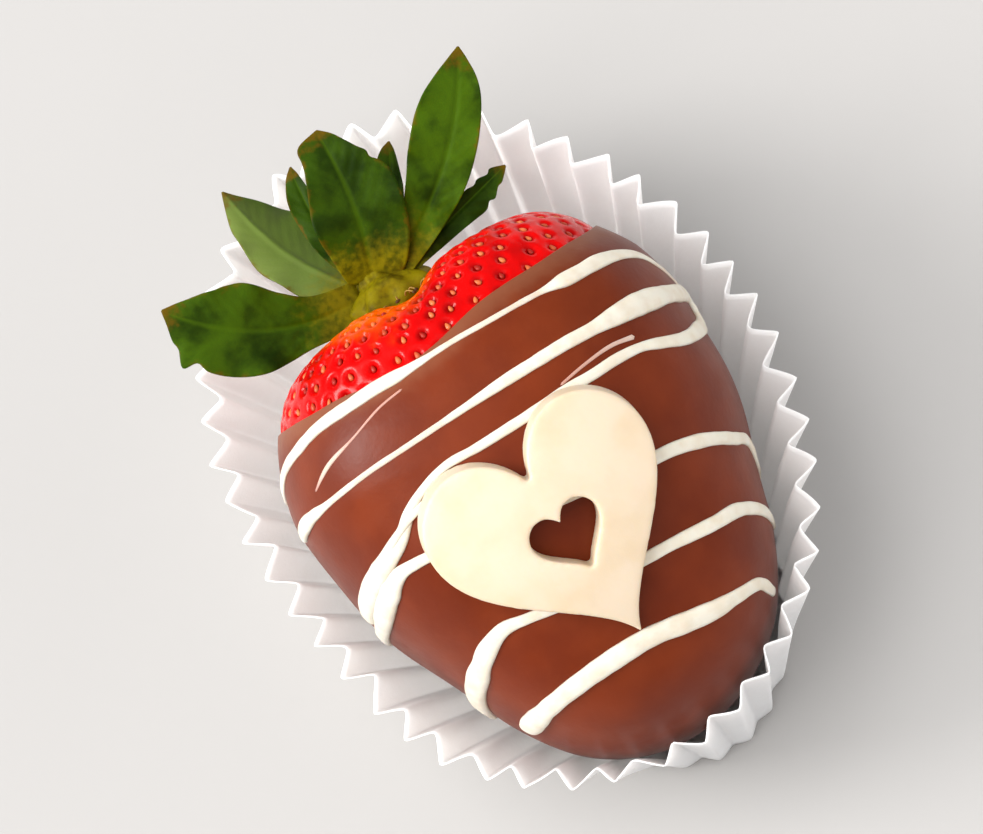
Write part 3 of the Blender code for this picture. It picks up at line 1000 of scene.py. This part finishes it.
def sharp_heart():
    """Points in the berry's millimetres, and faces, of the heart before it is softened."""
    lay_on = Matrix.Translation(HEART_PLACE) @ Matrix.Rotation(math.pi / 2 + HEART_LEAN, 4, "X")
    sizes = np.linspace(1, HEART_WINDOW, HEART_STRIPS + 1)
    flat = np.array([heart_ring(size) for size in sizes])
    sag = (flat**2).sum(-1) / (2 * HEART_DOMING)
    face = np.concatenate([flat, (HEART_THICKNESS - sag)[..., None]], -1)
    under = np.concatenate([flat, (HEART_THICKNESS / 2 - sag)[..., None]], -1)[::-1]
    face, under = moved(face, lay_on), moved(under, lay_on)
    inwards = -(lay_on.to_3x3() @ Vector((0, 0, 1)))
    for ring in under:
        for number, point in enumerate(ring):
            landed = coat_tree.ray_cast(Vector(point), inwards)[0]
            ring[number] = landed + inwards * HEART_SINK
    rings = np.vstack([face, under])
    here = np.arange(rings.shape[0] * HEART_POINTS).reshape(-1, HEART_POINTS)
    below = np.roll(here, -1, axis=0)
    beside, opposite = np.roll(here, -1, axis=1), np.roll(below, -1, axis=1)
    return rings.reshape(-1, 3), np.stack([here, below, opposite, beside], -1).reshape(-1, 4)


# %% Softening a sharp body
def soften(points, faces, cell, rounds):
    """The same body in small even cells with its edges smoothed, as points and faces."""
    mesh = bpy.data.meshes.new("sharp")
    mesh.from_pydata(points.tolist(), [], faces.tolist())
    turn_outwards(mesh)
    body = add_object("sharp", mesh)
    cells = body.modifiers.new("cells", "REMESH")
    cells.mode = "VOXEL"
    cells.voxel_size = cell
    smooth = body.modifiers.new("smooth", "SMOOTH")
    smooth.factor = 0.5
    smooth.iterations = rounds
    soft = body.evaluated_get(bpy.context.evaluated_depsgraph_get()).to_mesh()
    points = np.array([vertex.co for vertex in soft.vertices])
    faces = [tuple(polygon.vertices) for polygon in soft.polygons]
    bpy.data.objects.remove(body)
    return points, faces


def make_heart(finish):
    body = *soften(*sharp_heart(), HEART_CELL, HEART_SMOOTHING), {}
    add_on_berry("cast_heart", [body], finish, "heart")


# %% [markdown]
# ### Cream
#
# The same chocolate in a thick piece looks deeper and yellower, because light travels
# further in it. So the heart has a warmer colour and a wider glow than the drizzle, and
# it is hardly clouded, since a mould leaves an even face.

# %% Finish of the heart
CREAM = paint(210, 192, 168)
CREAM_DEEP = paint(204, 183, 153)


def cast_white_chocolate(place):
    """Cream, hardly clouded, with the satin of a mould."""
    return {
        "Base Color": place.grain(5.0).rise(0.35, 0.75).mix(CREAM, CREAM_DEEP),
        "Roughness": 0.38 + place.grain(1.6) * 0.18,
        "Normal": (place.grain(0.6) * 0.4 + place.grain(3.0) * 0.6).bump(0.04),
        **glow(0.35, (1.4, 0.9, 0.45)),
    }


make_heart(make_finish("cast_white_chocolate", cast_white_chocolate))

# %% [markdown]
# ## The leaves
#
# Ten sepals grow from one crown, and no two are alike: broad ones with a toothed end,
# thin ones between them, one twisted so that its pale underside shows. A flat card with
# a leaf picture on it would look like one. Here each sepal is a thin closed body along
# a curved midrib. Its stops say how wide it is to the left and right of the midrib at
# each share of its length, so a tooth is only a few stops close together. Midrib, side
# veins and a wavy margin are relief on that body, and the leaf thins out to its edge.

# %% The sepals, in millimetres
SEPAL_SOURCE = np.array((-1.9, 0.0, 1.8))
SEPAL_ROOT = 1.5                # distance from their common source where sepals start
BROAD_END = (
    (0, 1.9, 1.9), (0.15, 2.2, 2.1), (0.30, 2.5, 2.6), (0.40, 3.2, 3.3), (0.52, 4.1, 4.1),
    (0.64, 4.4, 4.5), (0.74, 4.2, 4.0), (0.79, 3.6, 3.5), (0.84, 4.4, 3.0),
    (0.875, 2.9, 2.5), (0.91, 2.3, 1.9), (0.955, 1.1, 1.1), (1, 0.1, 0.1))
TWISTED = (
    (0, 2.2, 2.0), (0.15, 3.7, 2.3), (0.30, 4.9, 2.7), (0.45, 5.4, 3.0), (0.58, 5.6, 2.8),
    (0.70, 5.0, 2.4), (0.79, 3.9, 1.9), (0.88, 2.3, 1.2), (0.95, 1.0, 0.6), (1, 0.1, 0.1))
BLUNT_END = (
    (0, 2.2, 2.4), (0.14, 3.0, 3.6), (0.33, 3.9, 4.5), (0.50, 4.2, 4.7), (0.63, 3.8, 4.6),
    (0.70, 3.5, 4.0), (0.74, 3.3, 3.3), (0.78, 3.1, 3.2), (0.82, 2.9, 2.6), (0.88, 2.7, 1.9),
    (0.94, 2.6, 1.2), (0.975, 1.9, 0.6), (1, 0.1, 0.1))
LONG = (
    (0, 2.0, 1.6), (0.14, 2.0, 1.7), (0.30, 2.2, 2.1), (0.42, 2.9, 2.5), (0.54, 3.6, 2.7),
    (0.67, 3.8, 2.6), (0.79, 3.4, 2.4), (0.88, 2.3, 1.8), (0.95, 1.1, 0.9), (1, 0.1, 0.1))
TOOTHED = (
    (0, 0.8, 0.8), (0.20, 1.0, 1.0), (0.45, 1.2, 1.4), (0.64, 1.0, 1.7), (0.73, 0.9, 1.8),
    (0.78, 0.7, 1.4), (0.82, 0.9, 1.6), (0.88, 0.6, 1.0), (0.92, 0.8, 0.9), (1, 0.1, 0.1))
NARROW = (
    (0, 0.6, 0.6), (0.3, 1.3, 1.1), (0.6, 1.7, 1.3), (0.8, 1.5, 0.9), (0.93, 0.9, 0.5),
    (1, 0.1, 0.1))
PLAIN = (
    (0, 1.2, 1.2), (0.15, 2.0, 1.9), (0.30, 2.9, 2.8), (0.45, 3.2, 3.1), (0.60, 3.2, 3.2),
    (0.75, 2.6, 2.5), (0.88, 1.5, 1.6), (0.95, 0.8, 0.7), (1, 0.1, 0.1))
# tip, bow towards its face, sway to its right, direction of its face, brightness, outline
SEPALS = {
    "back_left": ((-12.8, 10.0, 10.0), 2.0, 0.8, 130, 0.5, PLAIN),
    "back_middle": ((0.0, 13.6, 10.8), 2.2, -0.6, 90, 0.4, PLAIN),
    "back_right": ((10.5, 11.8, 11.0), 2.2, 0.5, 60, 0.5, PLAIN),
    "left_pale": ((-7.8, 5.0, 19.6), 2.6, 1.6, 118, 0.8, TWISTED),
    "middle_thin": ((-1.2, 2.0, 17.1), 1.0, -1.6, -100, 0.1, NARROW),
    "right_thin": ((7.7, 1.2, 13.3), 1.0, 0.6, -80, 0.3, NARROW),
    "left_broad": ((-18.9, -7.0, 12.1), 2.0, -4.0, -100, 0.7, BROAD_END),
    "right_low": ((15.1, -2.0, 4.3), 0.4, -0.6, -60, 0.1, TOOTHED),
    "right_long": ((18.2, -5.0, 15.6), 2.2, 3.0, -75, 1.0, LONG),
    "middle_broad": ((2.8, -5.0, 17.3), 2.4, 1.2, -88, 0.2, BLUNT_END),
}
SEPAL_ROWS = 64
SEPAL_ACROSS = 33
SEPAL_THICKNESS = (0.12, 0.42)  # at the margin and at the midrib
SEPAL_CUP = 0.20
SEPAL_DROOP = 0.6
MIDRIB_WIDTH = 0.24
MIDRIB_DEPTH = 0.16
VEIN_SPACING = 1.5
VEIN_SLANT = 1.2
VEIN_DEPTH = 0.045
MARGIN_WAVE = 0.28
MARGIN_WAVE_RATE = 1.3          # radians for each millimetre along the margin
RIPPLE_DEPTH = 0.10
RIPPLE_SIZE = 2.2
print(len(SEPALS), "sepals round the crown")


# %% A sepal's midrib and relief
def sepal_midrib(start, tip, bow, sway, facing_degrees, share):
    """Its points at shares of its length, and there the directions aside and forward."""
    turn = math.radians(facing_degrees)
    face = np.array((math.cos(turn), math.sin(turn), 0))
    right = unit(np.cross(tip - start, face))
    middle = (start + tip) / 2 + (face - (0, 0, SEPAL_DROOP)) * bow + right * sway
    centre = start * (1 - share) ** 2 + middle * 2 * share * (1 - share) + tip * share**2
    along = unit((middle - start) * (1 - share) + (tip - middle) * share)
    side = unit(np.cross(along, face))
    return centre, side, np.cross(side, along)


def sepal_relief(reach, width, part, fade, seed):
    """How far a sepal lifts forward, and how high its veins and deep its midrib are."""
    wave = np.sin(reach * MARGIN_WAVE_RATE + seed + 2.2 * np.sign(part))
    wave = wave * MARGIN_WAVE * abs(part) ** 3
    ripple = RIPPLE_DEPTH * wander(as_points(reach, width, seed), RIPPLE_SIZE)
    lift = SEPAL_CUP * (np.sqrt(width**2 + 0.25) - 0.5) + (wave + ripple) * fade
    vein = np.sin((reach - VEIN_SLANT * width) * 2 * math.pi / VEIN_SPACING)
    vein = VEIN_DEPTH * vein * np.clip(width, 0, 1) * (1 - part**4) * fade
    return lift, vein, MIDRIB_DEPTH * np.exp(-(width / MIDRIB_WIDTH) ** 2) * fade


# %% One sepal
def sepal_shape(tip, bow, sway, facing_degrees, brightness, stops, seed):
    """Points, faces and finish values of one sepal."""
    tip = np.array(tip)
    start = SEPAL_SOURCE + unit(tip - SEPAL_SOURCE) * SEPAL_ROOT
    place = np.linspace(0, len(stops) - 1, SEPAL_ROWS)
    share, left_edge, right_edge = smooth_through(stops, place).T
    share = np.maximum.accumulate(share)[:, None]
    centre, side, front = sepal_midrib(start, tip, bow, sway, facing_degrees, share)

    part = np.linspace(-1, 1, SEPAL_ACROSS)
    width = np.where(part < 0, np.outer(left_edge, part * -1), np.outer(right_edge, part))
    width = np.maximum(width, 0)
    reach = np.linalg.norm(tip - start) * share
    fade = np.clip(share * 4, 0, 1) * np.clip((1 - share) * 5, 0, 1)
    lift, vein, rib = sepal_relief(reach, width, part, fade, seed)
    thickness = between(SEPAL_THICKNESS, 1 - abs(part) ** 1.5)
    thickness = thickness * np.clip(0.3 + 2 * fade, 0, 1)

    flat = centre[:, None] + side[:, None] * (width * np.sign(part))[..., None]
    over = flat + front[:, None] * (lift + thickness / 2 + vein - rib)[..., None]
    under = flat + front[:, None] * (lift - thickness / 2 + vein - rib * 1.6)[..., None]
    rings = np.concatenate([over, under[:, ::-1]], axis=1)
    points, faces = round_body(rings, start, tip)

    spread = np.broadcast_to(share, rings.shape[:2]).ravel()
    across = np.tile(abs(np.concatenate([part, part[::-1]])), SEPAL_ROWS)
    below = np.tile(np.concatenate([part * 0, 0.65 + 0.35 * part[::-1]]), SEPAL_ROWS)
    values = {
        "along": [*spread, 0, 1], "across": [*across, 0, 1], "below": [*below, 0, 0],
        "tone": np.full(len(points), brightness)}
    return points, faces, values


def make_sepals(finish):
    bodies = [sepal_shape(*shape, seed=3.7 * number)
              for number, shape in enumerate(SEPALS.values())]
    add_on_berry("sepals", bodies, finish, "leaf_crown")


# %% [markdown]
# ### A leaf's colours
#
# A sepal is yellow-green where it leaves the crown, deep green over its face, paler and
# greyer underneath, and dry and olive brown at its tip and in spots along its margin.
# The mesh carries how far along and across each point lies and which side it is on, so
# every one of these is a smooth step on one of those numbers, broken up by noise.

# %% Finish of the leaves
LEAF_GREEN = paint(38, 61, 0)
LEAF_BRIGHT = paint(60, 87, 0)
LEAF_DEEP = paint(21, 39, 0)
LEAF_UNDER = paint(105, 120, 57)
LEAF_ROOT = paint(116, 105, 3)
LEAF_ROOT_DEEP = paint(80, 69, 2)
LEAF_DRY = paint(94, 64, 2)


def sepal_leaf(place):
    """Blotched green with a bright midrib, an olive root, dry edges and a pale underside."""
    along, across = place.carried("along"), place.carried("across")
    blotch, speck = place.grain(3.2, 4.0), place.grain(0.7)
    green = blotch.rise(0.38, 0.62).mix(LEAF_DEEP, LEAF_GREEN)
    green = (place.carried("tone") * 0.9 * blotch.rise(0.2, 0.6)).mix(green, LEAF_BRIGHT)
    rib = (1 - across * 9).rise(0, 1) * 0.5
    green = rib.mix(green, LEAF_BRIGHT)
    sided = (place.carried("below") * 0.85).mix(green, LEAF_UNDER)
    root = (speck * 0.5 + blotch * 0.5).rise(0.42, 0.66).mix(LEAF_ROOT, LEAF_ROOT_DEEP)
    rooted = (along + (speck - 0.5) * 0.26).rise(0.04, 0.36).mix(root, sided)
    margin = (across + (speck - 0.5) * 0.5 + (blotch - 0.5) * 0.7).rise(0.92, 1.12) * 0.6
    tip = (along + (speck - 0.5) * 0.2).rise(0.90, 1.0) * 0.8
    return {
        "Base Color": tip.mix(margin.mix(rooted, LEAF_DRY), LEAF_DRY),
        "Roughness": 0.46 + blotch * 0.2,
        "Normal": (speck * 0.5 + place.grain(0.22, 2.0) * 0.5).bump(0.035),
        "Specular IOR Level": 0.12,
        **glow(0.12, (0.3, 0.5, 0.1)),
    }


leaf_finish = make_finish("sepal_leaf", sepal_leaf)
make_sepals(leaf_finish)

# %% [markdown]
# ## The crown and its dry stamens
#
# The sepals meet in a low fleshy crown with the cut stalk in its middle. It is a lathe
# profile with a few lumps. Round its neck stand the stamens of the flower, dried to
# brown threads with a speck at the end. They are only a tenth of a millimetre thick,
# yet they are what makes the place where leaf meets fruit look real, so they are
# modelled one by one and joined.

# %% The crown
CROWN_PROFILE = (
    (0.6, -1.4), (2.0, -1.2), (3.0, -0.6), (3.4, 0.3), (3.3, 1.2), (3.0, 2.0), (2.4, 2.6),
    (1.8, 2.9), (1.5, 3.2), (1.4, 3.6), (1.3, 4.0), (1.1, 4.3), (0.6, 4.4))
CROWN_AXIS = np.array((-1.2, 0.0, 0.0))
CROWN_BREADTH = 1.3             # it is that much wider than deep
CROWN_COLUMNS = 72
CROWN_ROWS = 60
CROWN_LUMP = (0.22, 1.7)        # depth and size of its lumps
CROWN_RIBS = (0.05, 10)         # depth and number of its ribs, one to a sepal
STALK_HEIGHT = 3.0              # above it the crown turns from olive towards green
STALK_GREENING = 12.0


def make_crown(finish):
    turns = full_turn(CROWN_COLUMNS)
    place = np.linspace(0, len(CROWN_PROFILE) - 1, CROWN_ROWS)
    radius, height = smooth_through(CROWN_PROFILE, place).T[..., None]
    rings = as_points(radius * np.cos(turns), radius * np.sin(turns), height)
    (lump_depth, lump_size), (rib_depth, ribs) = CROWN_LUMP, CROWN_RIBS
    lump = 1 + lump_depth * wander(rings, lump_size, seed=6) + rib_depth * np.cos(ribs * turns)
    rings = rings * as_points(lump * CROWN_BREADTH, lump, 1) + CROWN_AXIS
    points, faces = round_body(rings, rings[0].mean(0), rings[-1].mean(0) + (0, 0, 0.1))
    along = np.clip((points[:, 2] - STALK_HEIGHT) / STALK_GREENING, 0, 0.3)
    even = np.full(len(points), 0.5)
    values = {"along": along, "across": even, "below": even * 0, "tone": even}
    add_on_berry("crown", [(points, faces, values)], finish)


make_crown(leaf_finish)

# %% The stamens
STAMENS = 30
STAMEN_LENGTH = (1.0, 2.2)
STAMEN_RISE = (-0.3, 0.5)
STAMEN_BEND = 0.5
STAMEN_ROOT = 3.2               # they leave the crown's axis that far out
STAMEN_RADIUS = 0.07
STAMEN_POINTS = 6
STAMEN_ROWS = 8
ANTHER_BOX = (0.55, 0.36, 0.28)


def stamen_shape(turn, length, rise, bend):
    """A thread that leaves the crown's neck, and the anther on its end."""
    out = np.array((math.cos(turn), math.sin(turn), 0))
    over = np.cross((0, 0, 1), out)
    root = CROWN_AXIS + out * (STAMEN_ROOT * CROWN_BREADTH, STAMEN_ROOT, 0) - (0, 0, 0.2)
    share = np.linspace(0, 1, STAMEN_ROWS)[:, None]
    path = root + out * length * share + over * bend * share**2
    path = path + np.array((0, 0, 1)) * (rise * share + 0.5 * np.sin(share * math.pi))
    along = unit(np.gradient(path, axis=0))
    side = unit(np.cross(along, (0, 0, 1)))
    up = np.cross(side, along)
    turns = full_turn(STAMEN_POINTS)[:, None]
    ring = side[:, None] * np.cos(turns) + up[:, None] * np.sin(turns)
    thread, thread_faces = round_body(path[:, None] + ring * STAMEN_RADIUS, path[0], path[-1])
    drop, drop_faces = drop_shape()
    anther = drop * ANTHER_BOX @ np.stack([side[-1], along[-1], up[-1]]) + path[-1]
    pale, dark = {"tint": np.zeros(len(thread))}, {"tint": np.ones(len(drop))}
    return (thread, thread_faces, pale), (anther, drop_faces, dark)


def make_stamens(finish):
    chance = np.random.default_rng(14)
    bodies = []
    for number in range(STAMENS):
        turn = 2 * math.pi * (number + chance.uniform(-0.35, 0.35)) / STAMENS
        length = chance.uniform(*STAMEN_LENGTH)
        rise, bend = chance.uniform(*STAMEN_RISE), chance.normal(0, STAMEN_BEND)
        bodies += stamen_shape(turn, length, rise, bend)
    add_on_berry("stamens", bodies, finish)


# %% [markdown]
# ### Dry stamens
#
# Threads and anthers are one mesh with one finish. A point carries 0 on a thread and 1
# on an anther, and noise is added to that, so that brown creeps along some threads.

# %% Finish of the stamens
THREAD_STRAW = paint(150, 116, 50)
ANTHER_BROWN = paint(72, 44, 14)


def dry_stamen(place):
    """Straw threads that darken to brown anthers."""
    tint = (place.carried("tint") * 0.7 + place.grain(0.6) * 0.5).rise(0.3, 0.9)
    return {
        "Base Color": tint.mix(THREAD_STRAW, ANTHER_BROWN),
        "Roughness": 0.7,
        "Normal": place.grain(0.15).bump(0.03),
    }


make_stamens(make_finish("dry_stamen", dry_stamen))

# %% [markdown]
# ## The fluted paper case
#
# A paper case is pressed from one flat disc of greaseproof paper. Its rim has to get
# shorter, so it gathers into flutes, which are sharp at the top and run out on the
# floor. No two flutes are quite alike, because the paper creases where it likes. One
# closed grid makes it: out over the underside of the floor, up the outer wall, over the
# thin rim, and down the inside again. Each ring is an oval with evenly spaced flutes,
# and every flute has its own depth, lean and height.

# %% The case, in millimetres
CASE_HEIGHT = 17.5
CASE_BASE = (18.5, 30.4)        # half width and half length at the base
CASE_RIM = (25.5, 35.1)         # the same at the rim
CASE_RIM_SHIFT = 2.4            # the rim's middle lies this far behind the base's
CASE_PAPER = 0.14
CASE_FLUTES = 46
CASE_COLUMNS = 20               # columns of points to each flute
CASE_WALL_ROWS = 22
CASE_FLOOR_ROWS = 7
CASE_FLUTE_DEPTH = (0.8, 2.3)   # at the base and at the rim
CASE_FLUTE_SHARPNESS = 0.93
CASE_TIP_SHALLOW = 0.28         # the flutes by the tip are that much shallower
CASE_UNEVEN_DEPTH = 0.16
CASE_UNEVEN_PLACE = 0.10
CASE_UNEVEN_HEIGHT = 0.22
CASE_WARP = (0.45, 16.0)        # depth and size of its slow swells
CASE_PINCH = 0.17               # the floor is that much narrower towards the tip
CASE_BULGE = 2.6                # the rim is pushed out at its near left corner
CASE_BULGE_DIRECTION = math.radians(-124)
CASE_BULGE_SPREAD = math.radians(32)


def outwards(ring):
    """The level direction outwards at each point of a ring that runs anticlockwise."""
    along = unit(np.roll(ring, -1, axis=0) - np.roll(ring, 1, axis=0))
    return np.stack([along[:, 1], -along[:, 0]], -1)


def even_oval(share):
    """Evenly spaced points on the case's plain oval, share of the way up."""
    half_width, half_length = (between(ends, share) for ends in zip(CASE_BASE, CASE_RIM))
    count = CASE_FLUTES * CASE_COLUMNS
    turns = np.linspace(0, 2 * math.pi, count * 8 + 1)
    pinch = 1 - CASE_PINCH * (1 - share) * np.clip(-np.sin(turns), 0, 1)
    oval = as_points(half_width * pinch * np.cos(turns), half_length * np.sin(turns))
    off = np.arctan2(oval[:, 1], oval[:, 0]) - CASE_BULGE_DIRECTION
    off = (off + math.pi) % (2 * math.pi) - math.pi
    bulge = CASE_BULGE * share * np.exp(-(off / CASE_BULGE_SPREAD) ** 2)
    oval = oval + unit(oval) * bulge[:, None]
    steps = np.linalg.norm(np.diff(oval, axis=0), axis=1)
    lengths = np.concatenate([[0], np.cumsum(steps)])
    wanted = lengths[-1] * np.arange(count) / count
    return as_points(*(np.interp(wanted, lengths, column) for column in oval.T))


def flute_chance():
    """A depth, a shift and a height for every column, the same up the whole wall."""
    chance = np.random.default_rng(21)
    kinks = chance.uniform(-1, 1, (3, CASE_FLUTES * 2))
    columns = np.arange(CASE_FLUTES * CASE_COLUMNS) / CASE_COLUMNS * 2
    folds = np.arange(CASE_FLUTES * 2 + 1)
    return [np.interp(columns, folds, np.append(row, row[0])) for row in kinks]


case_depth, case_shift, case_rise = flute_chance()
rim_length = np.linalg.norm(np.diff(even_oval(1), axis=0), axis=1).sum()
print("flutes", round(rim_length / CASE_FLUTES, 1), "mm apart at the rim")


# %% The wall and the floor
def case_ring(share, inside):
    """A fluted ring of the wall, share of the way up, on its outer or inner face."""
    even = even_oval(share)
    flute = np.arange(len(even)) / CASE_COLUMNS + CASE_UNEVEN_PLACE * case_shift * share
    wave = np.arcsin(CASE_FLUTE_SHARPNESS * np.cos(2 * math.pi * flute))
    wave = wave / math.asin(CASE_FLUTE_SHARPNESS)
    shallow = 1 - CASE_TIP_SHALLOW * np.clip(-even[:, 1] / CASE_RIM[1], 0, 1) ** 4
    depth = between(CASE_FLUTE_DEPTH, share) / 2 * (1 + CASE_UNEVEN_DEPTH * case_depth)
    warp_depth, warp_size = CASE_WARP
    warp = warp_depth * wander(as_points(*(even / warp_size).T, share), 1.0, seed=70)
    ring = even + outwards(even) * (wave * depth * shallow + warp * share)[:, None]
    ring = ring + (0, CASE_RIM_SHIFT * share)
    height = CASE_HEIGHT * share + CASE_UNEVEN_HEIGHT * (case_rise - 1) * share**3
    if inside:
        ring = ring - outwards(ring) * CASE_PAPER
        height = np.maximum(height, CASE_PAPER)
    return as_points(*ring.T, height)


def case_floor(wall, height):
    """Rings from the middle of the floor out to the wall, with the flutes dying away."""
    middle = np.array((0, 0, height))
    smooth = as_points(*even_oval(0).T, height)
    rings = []
    for share in np.linspace(0, 1, CASE_FLOOR_ROWS + 2)[1:-1]:
        blend = between((smooth, wall), np.clip(share * 3 - 2, 0, 1))
        rings.append(between((middle, blend), share**0.5))
    return rings


def make_case(wall_finish, floor_finish):
    shares = np.linspace(0, 1, CASE_WALL_ROWS)
    outer = [case_ring(share, inside=False) for share in shares]
    inner = [case_ring(share, inside=True) for share in shares[::-1]]
    rings = case_floor(outer[0], 0.0) + outer + inner
    rings += case_floor(inner[-1], CASE_PAPER)[::-1]
    points, faces = round_body(np.array(rings), (0, 0, 0), (0, 0, CASE_PAPER))
    case = add_piece("pleated_case", points * MM, faces, wall_finish, "paper_case")
    case.data.materials.append(floor_finish)
    for face in case.data.polygons:
        face.material_index = int(face.center.z < CASE_PAPER * MM * 1.5)


# %% [markdown]
# ### Paper that lets light through
#
# Paper this thin glows where light falls on its far side, and without that the folds
# behind the berry would be grey. Subsurface light does it, because the wall is a closed
# body: what enters one face leaves by the other. The floor of the case lies on the
# table, where no light comes from below, so its finish is the same without the glow.

# %% Finish of the paper
PAPER_WHITE = paint(250, 248, 246)
PAPER_SHADE = paint(243, 239, 236)
PAPER_GLOW = 0.6


def case_paper(place, glowing):
    """White with cloudy fibres, rough, and glowing or not."""
    fibres = place.grain(0.5, 4.0)
    return {
        "Base Color": (place.grain(2.2) * 0.6 + fibres * 0.4).mix(PAPER_WHITE, PAPER_SHADE),
        "Roughness": 0.62 + fibres * 0.2,
        "Normal": (fibres * 0.6 + place.grain(0.16, 2.0) * 0.4).bump(0.03),
        "Specular IOR Level": 0.35,
        **glow(glowing, (1.8, 1.7, 1.6)),
    }


case_wall = make_finish("case_wall", case_paper, PAPER_GLOW)
make_case(case_wall, make_finish("case_floor", case_paper, 0.0))

# %% [markdown]
# ## Floor, light and camera
#
# Chocolate takes the colour of whatever it mirrors, so only one light may gleam on it:
# a soft window at the side, which lays a pale sheen over one shoulder. All the rest is
# fill that reflections don't see: a big softbox overhead, a white card low down on the
# far side, and a pale world that reaches into the folds of the paper. The camera looks
# down steeply through a long lens, as one does over an open box, and it is turned about
# its own line of sight, so that the berry lies slanting.

# %% The floor
FLOOR_PALE = paint(166, 164, 162)
FLOOR_SHADE = paint(162, 160, 158)
FLOOR_HALF = 3.0                # half its side, in metres
FLOOR_GAP = 0.02 * MM           # it lies just under the paper, so that they don't flicker


def pale_floor(place):
    """Matt and almost even."""
    return {"Base Color": place.grain(60.0).mix(FLOOR_PALE, FLOOR_SHADE), "Roughness": 0.8}


def make_floor(finish):
    mesh = bpy.data.meshes.new("floor")
    corners = [(x, y, -FLOOR_GAP) for x, y in ((-1, -1), (1, -1), (1, 1), (-1, 1))]
    corners = [(x * FLOOR_HALF, y * FLOOR_HALF, z) for x, y, z in corners]
    mesh.from_pydata(corners, [], [(0, 1, 2, 3)])
    mesh.materials.append(finish)
    add_object("floor", mesh)


make_floor(make_finish("pale_floor", pale_floor))

# %% The light
LIGHT_AIM = Vector((0, 0, 0.02))
LIGHT_DISTANCE = 1.5
LIGHT_COLOUR = (1.0, 0.985, 0.97)
SKY_COLOUR = (0.93, 0.94, 0.96, 1)
SKY_STRENGTH = 0.93


def add_softbox(name, direction, size, watts, gleams):
    """A square area light that looks at the berry and doesn't show itself."""
    lamp = bpy.data.lights.new(name, "AREA")
    lamp.size = size
    lamp.energy = watts
    lamp.color = LIGHT_COLOUR
    softbox = add_object(name, lamp)
    softbox.location = LIGHT_AIM + Vector(direction).normalized() * LIGHT_DISTANCE
    softbox.rotation_euler = Vector(direction).to_track_quat("Z", "Y").to_euler()
    softbox.visible_camera = False
    softbox.visible_glossy = gleams
    print(name, "stands at", [round(x, 2) for x in softbox.location], "metres")


def add_sky():
    """A pale world that lights every fold, and that the glossy pieces don't mirror."""
    world = bpy.data.worlds.new("pale_room")
    world.use_nodes = True
    sky = world.node_tree.nodes["Background"]
    sky.inputs["Color"].default_value = SKY_COLOUR
    sky.inputs["Strength"].default_value = SKY_STRENGTH
    bpy.context.scene.world = world
    world.cycles_visibility.glossy = False


add_softbox("window", (-0.73, 0.41, 0.51), 0.6, 17, gleams=True)
add_softbox("overhead", (-0.5, 0.1, 1.0), 1.6, 31, gleams=False)
add_softbox("white_card", (0.8, -0.55, 0.2), 1.8, 12, gleams=False)
add_sky()
bpy.context.scene.view_settings.view_transform = "Standard"

# %% The camera
CAMERA_ELEVATION = math.radians(67.7)
CAMERA_ROLL = math.radians(-36.87)
CAMERA_DISTANCE = 0.92
CAMERA_LENS = 358
CAMERA_AIM = Vector((-0.16, 3.5, 20)) * MM


def add_camera():
    """A camera at its angle above the tip's side, turned about its line of sight."""
    back = Vector((0, -math.cos(CAMERA_ELEVATION), math.sin(CAMERA_ELEVATION)))
    lens = bpy.data.cameras.new("camera")
    lens.lens = CAMERA_LENS
    lens.clip_start = 0.05
    camera = add_object("camera", lens)
    level = back.to_track_quat("Z", "Y").to_matrix()
    turned = level @ Matrix.Rotation(CAMERA_ROLL, 3, "Z")
    camera.matrix_world = Matrix.Translation(CAMERA_AIM + back * CAMERA_DISTANCE) @ turned.to_4x4()
    bpy.context.scene.camera = camera
    print("the lens is", CAMERA_LENS, "mm long and looks from", CAMERA_DISTANCE, "m")


add_camera()
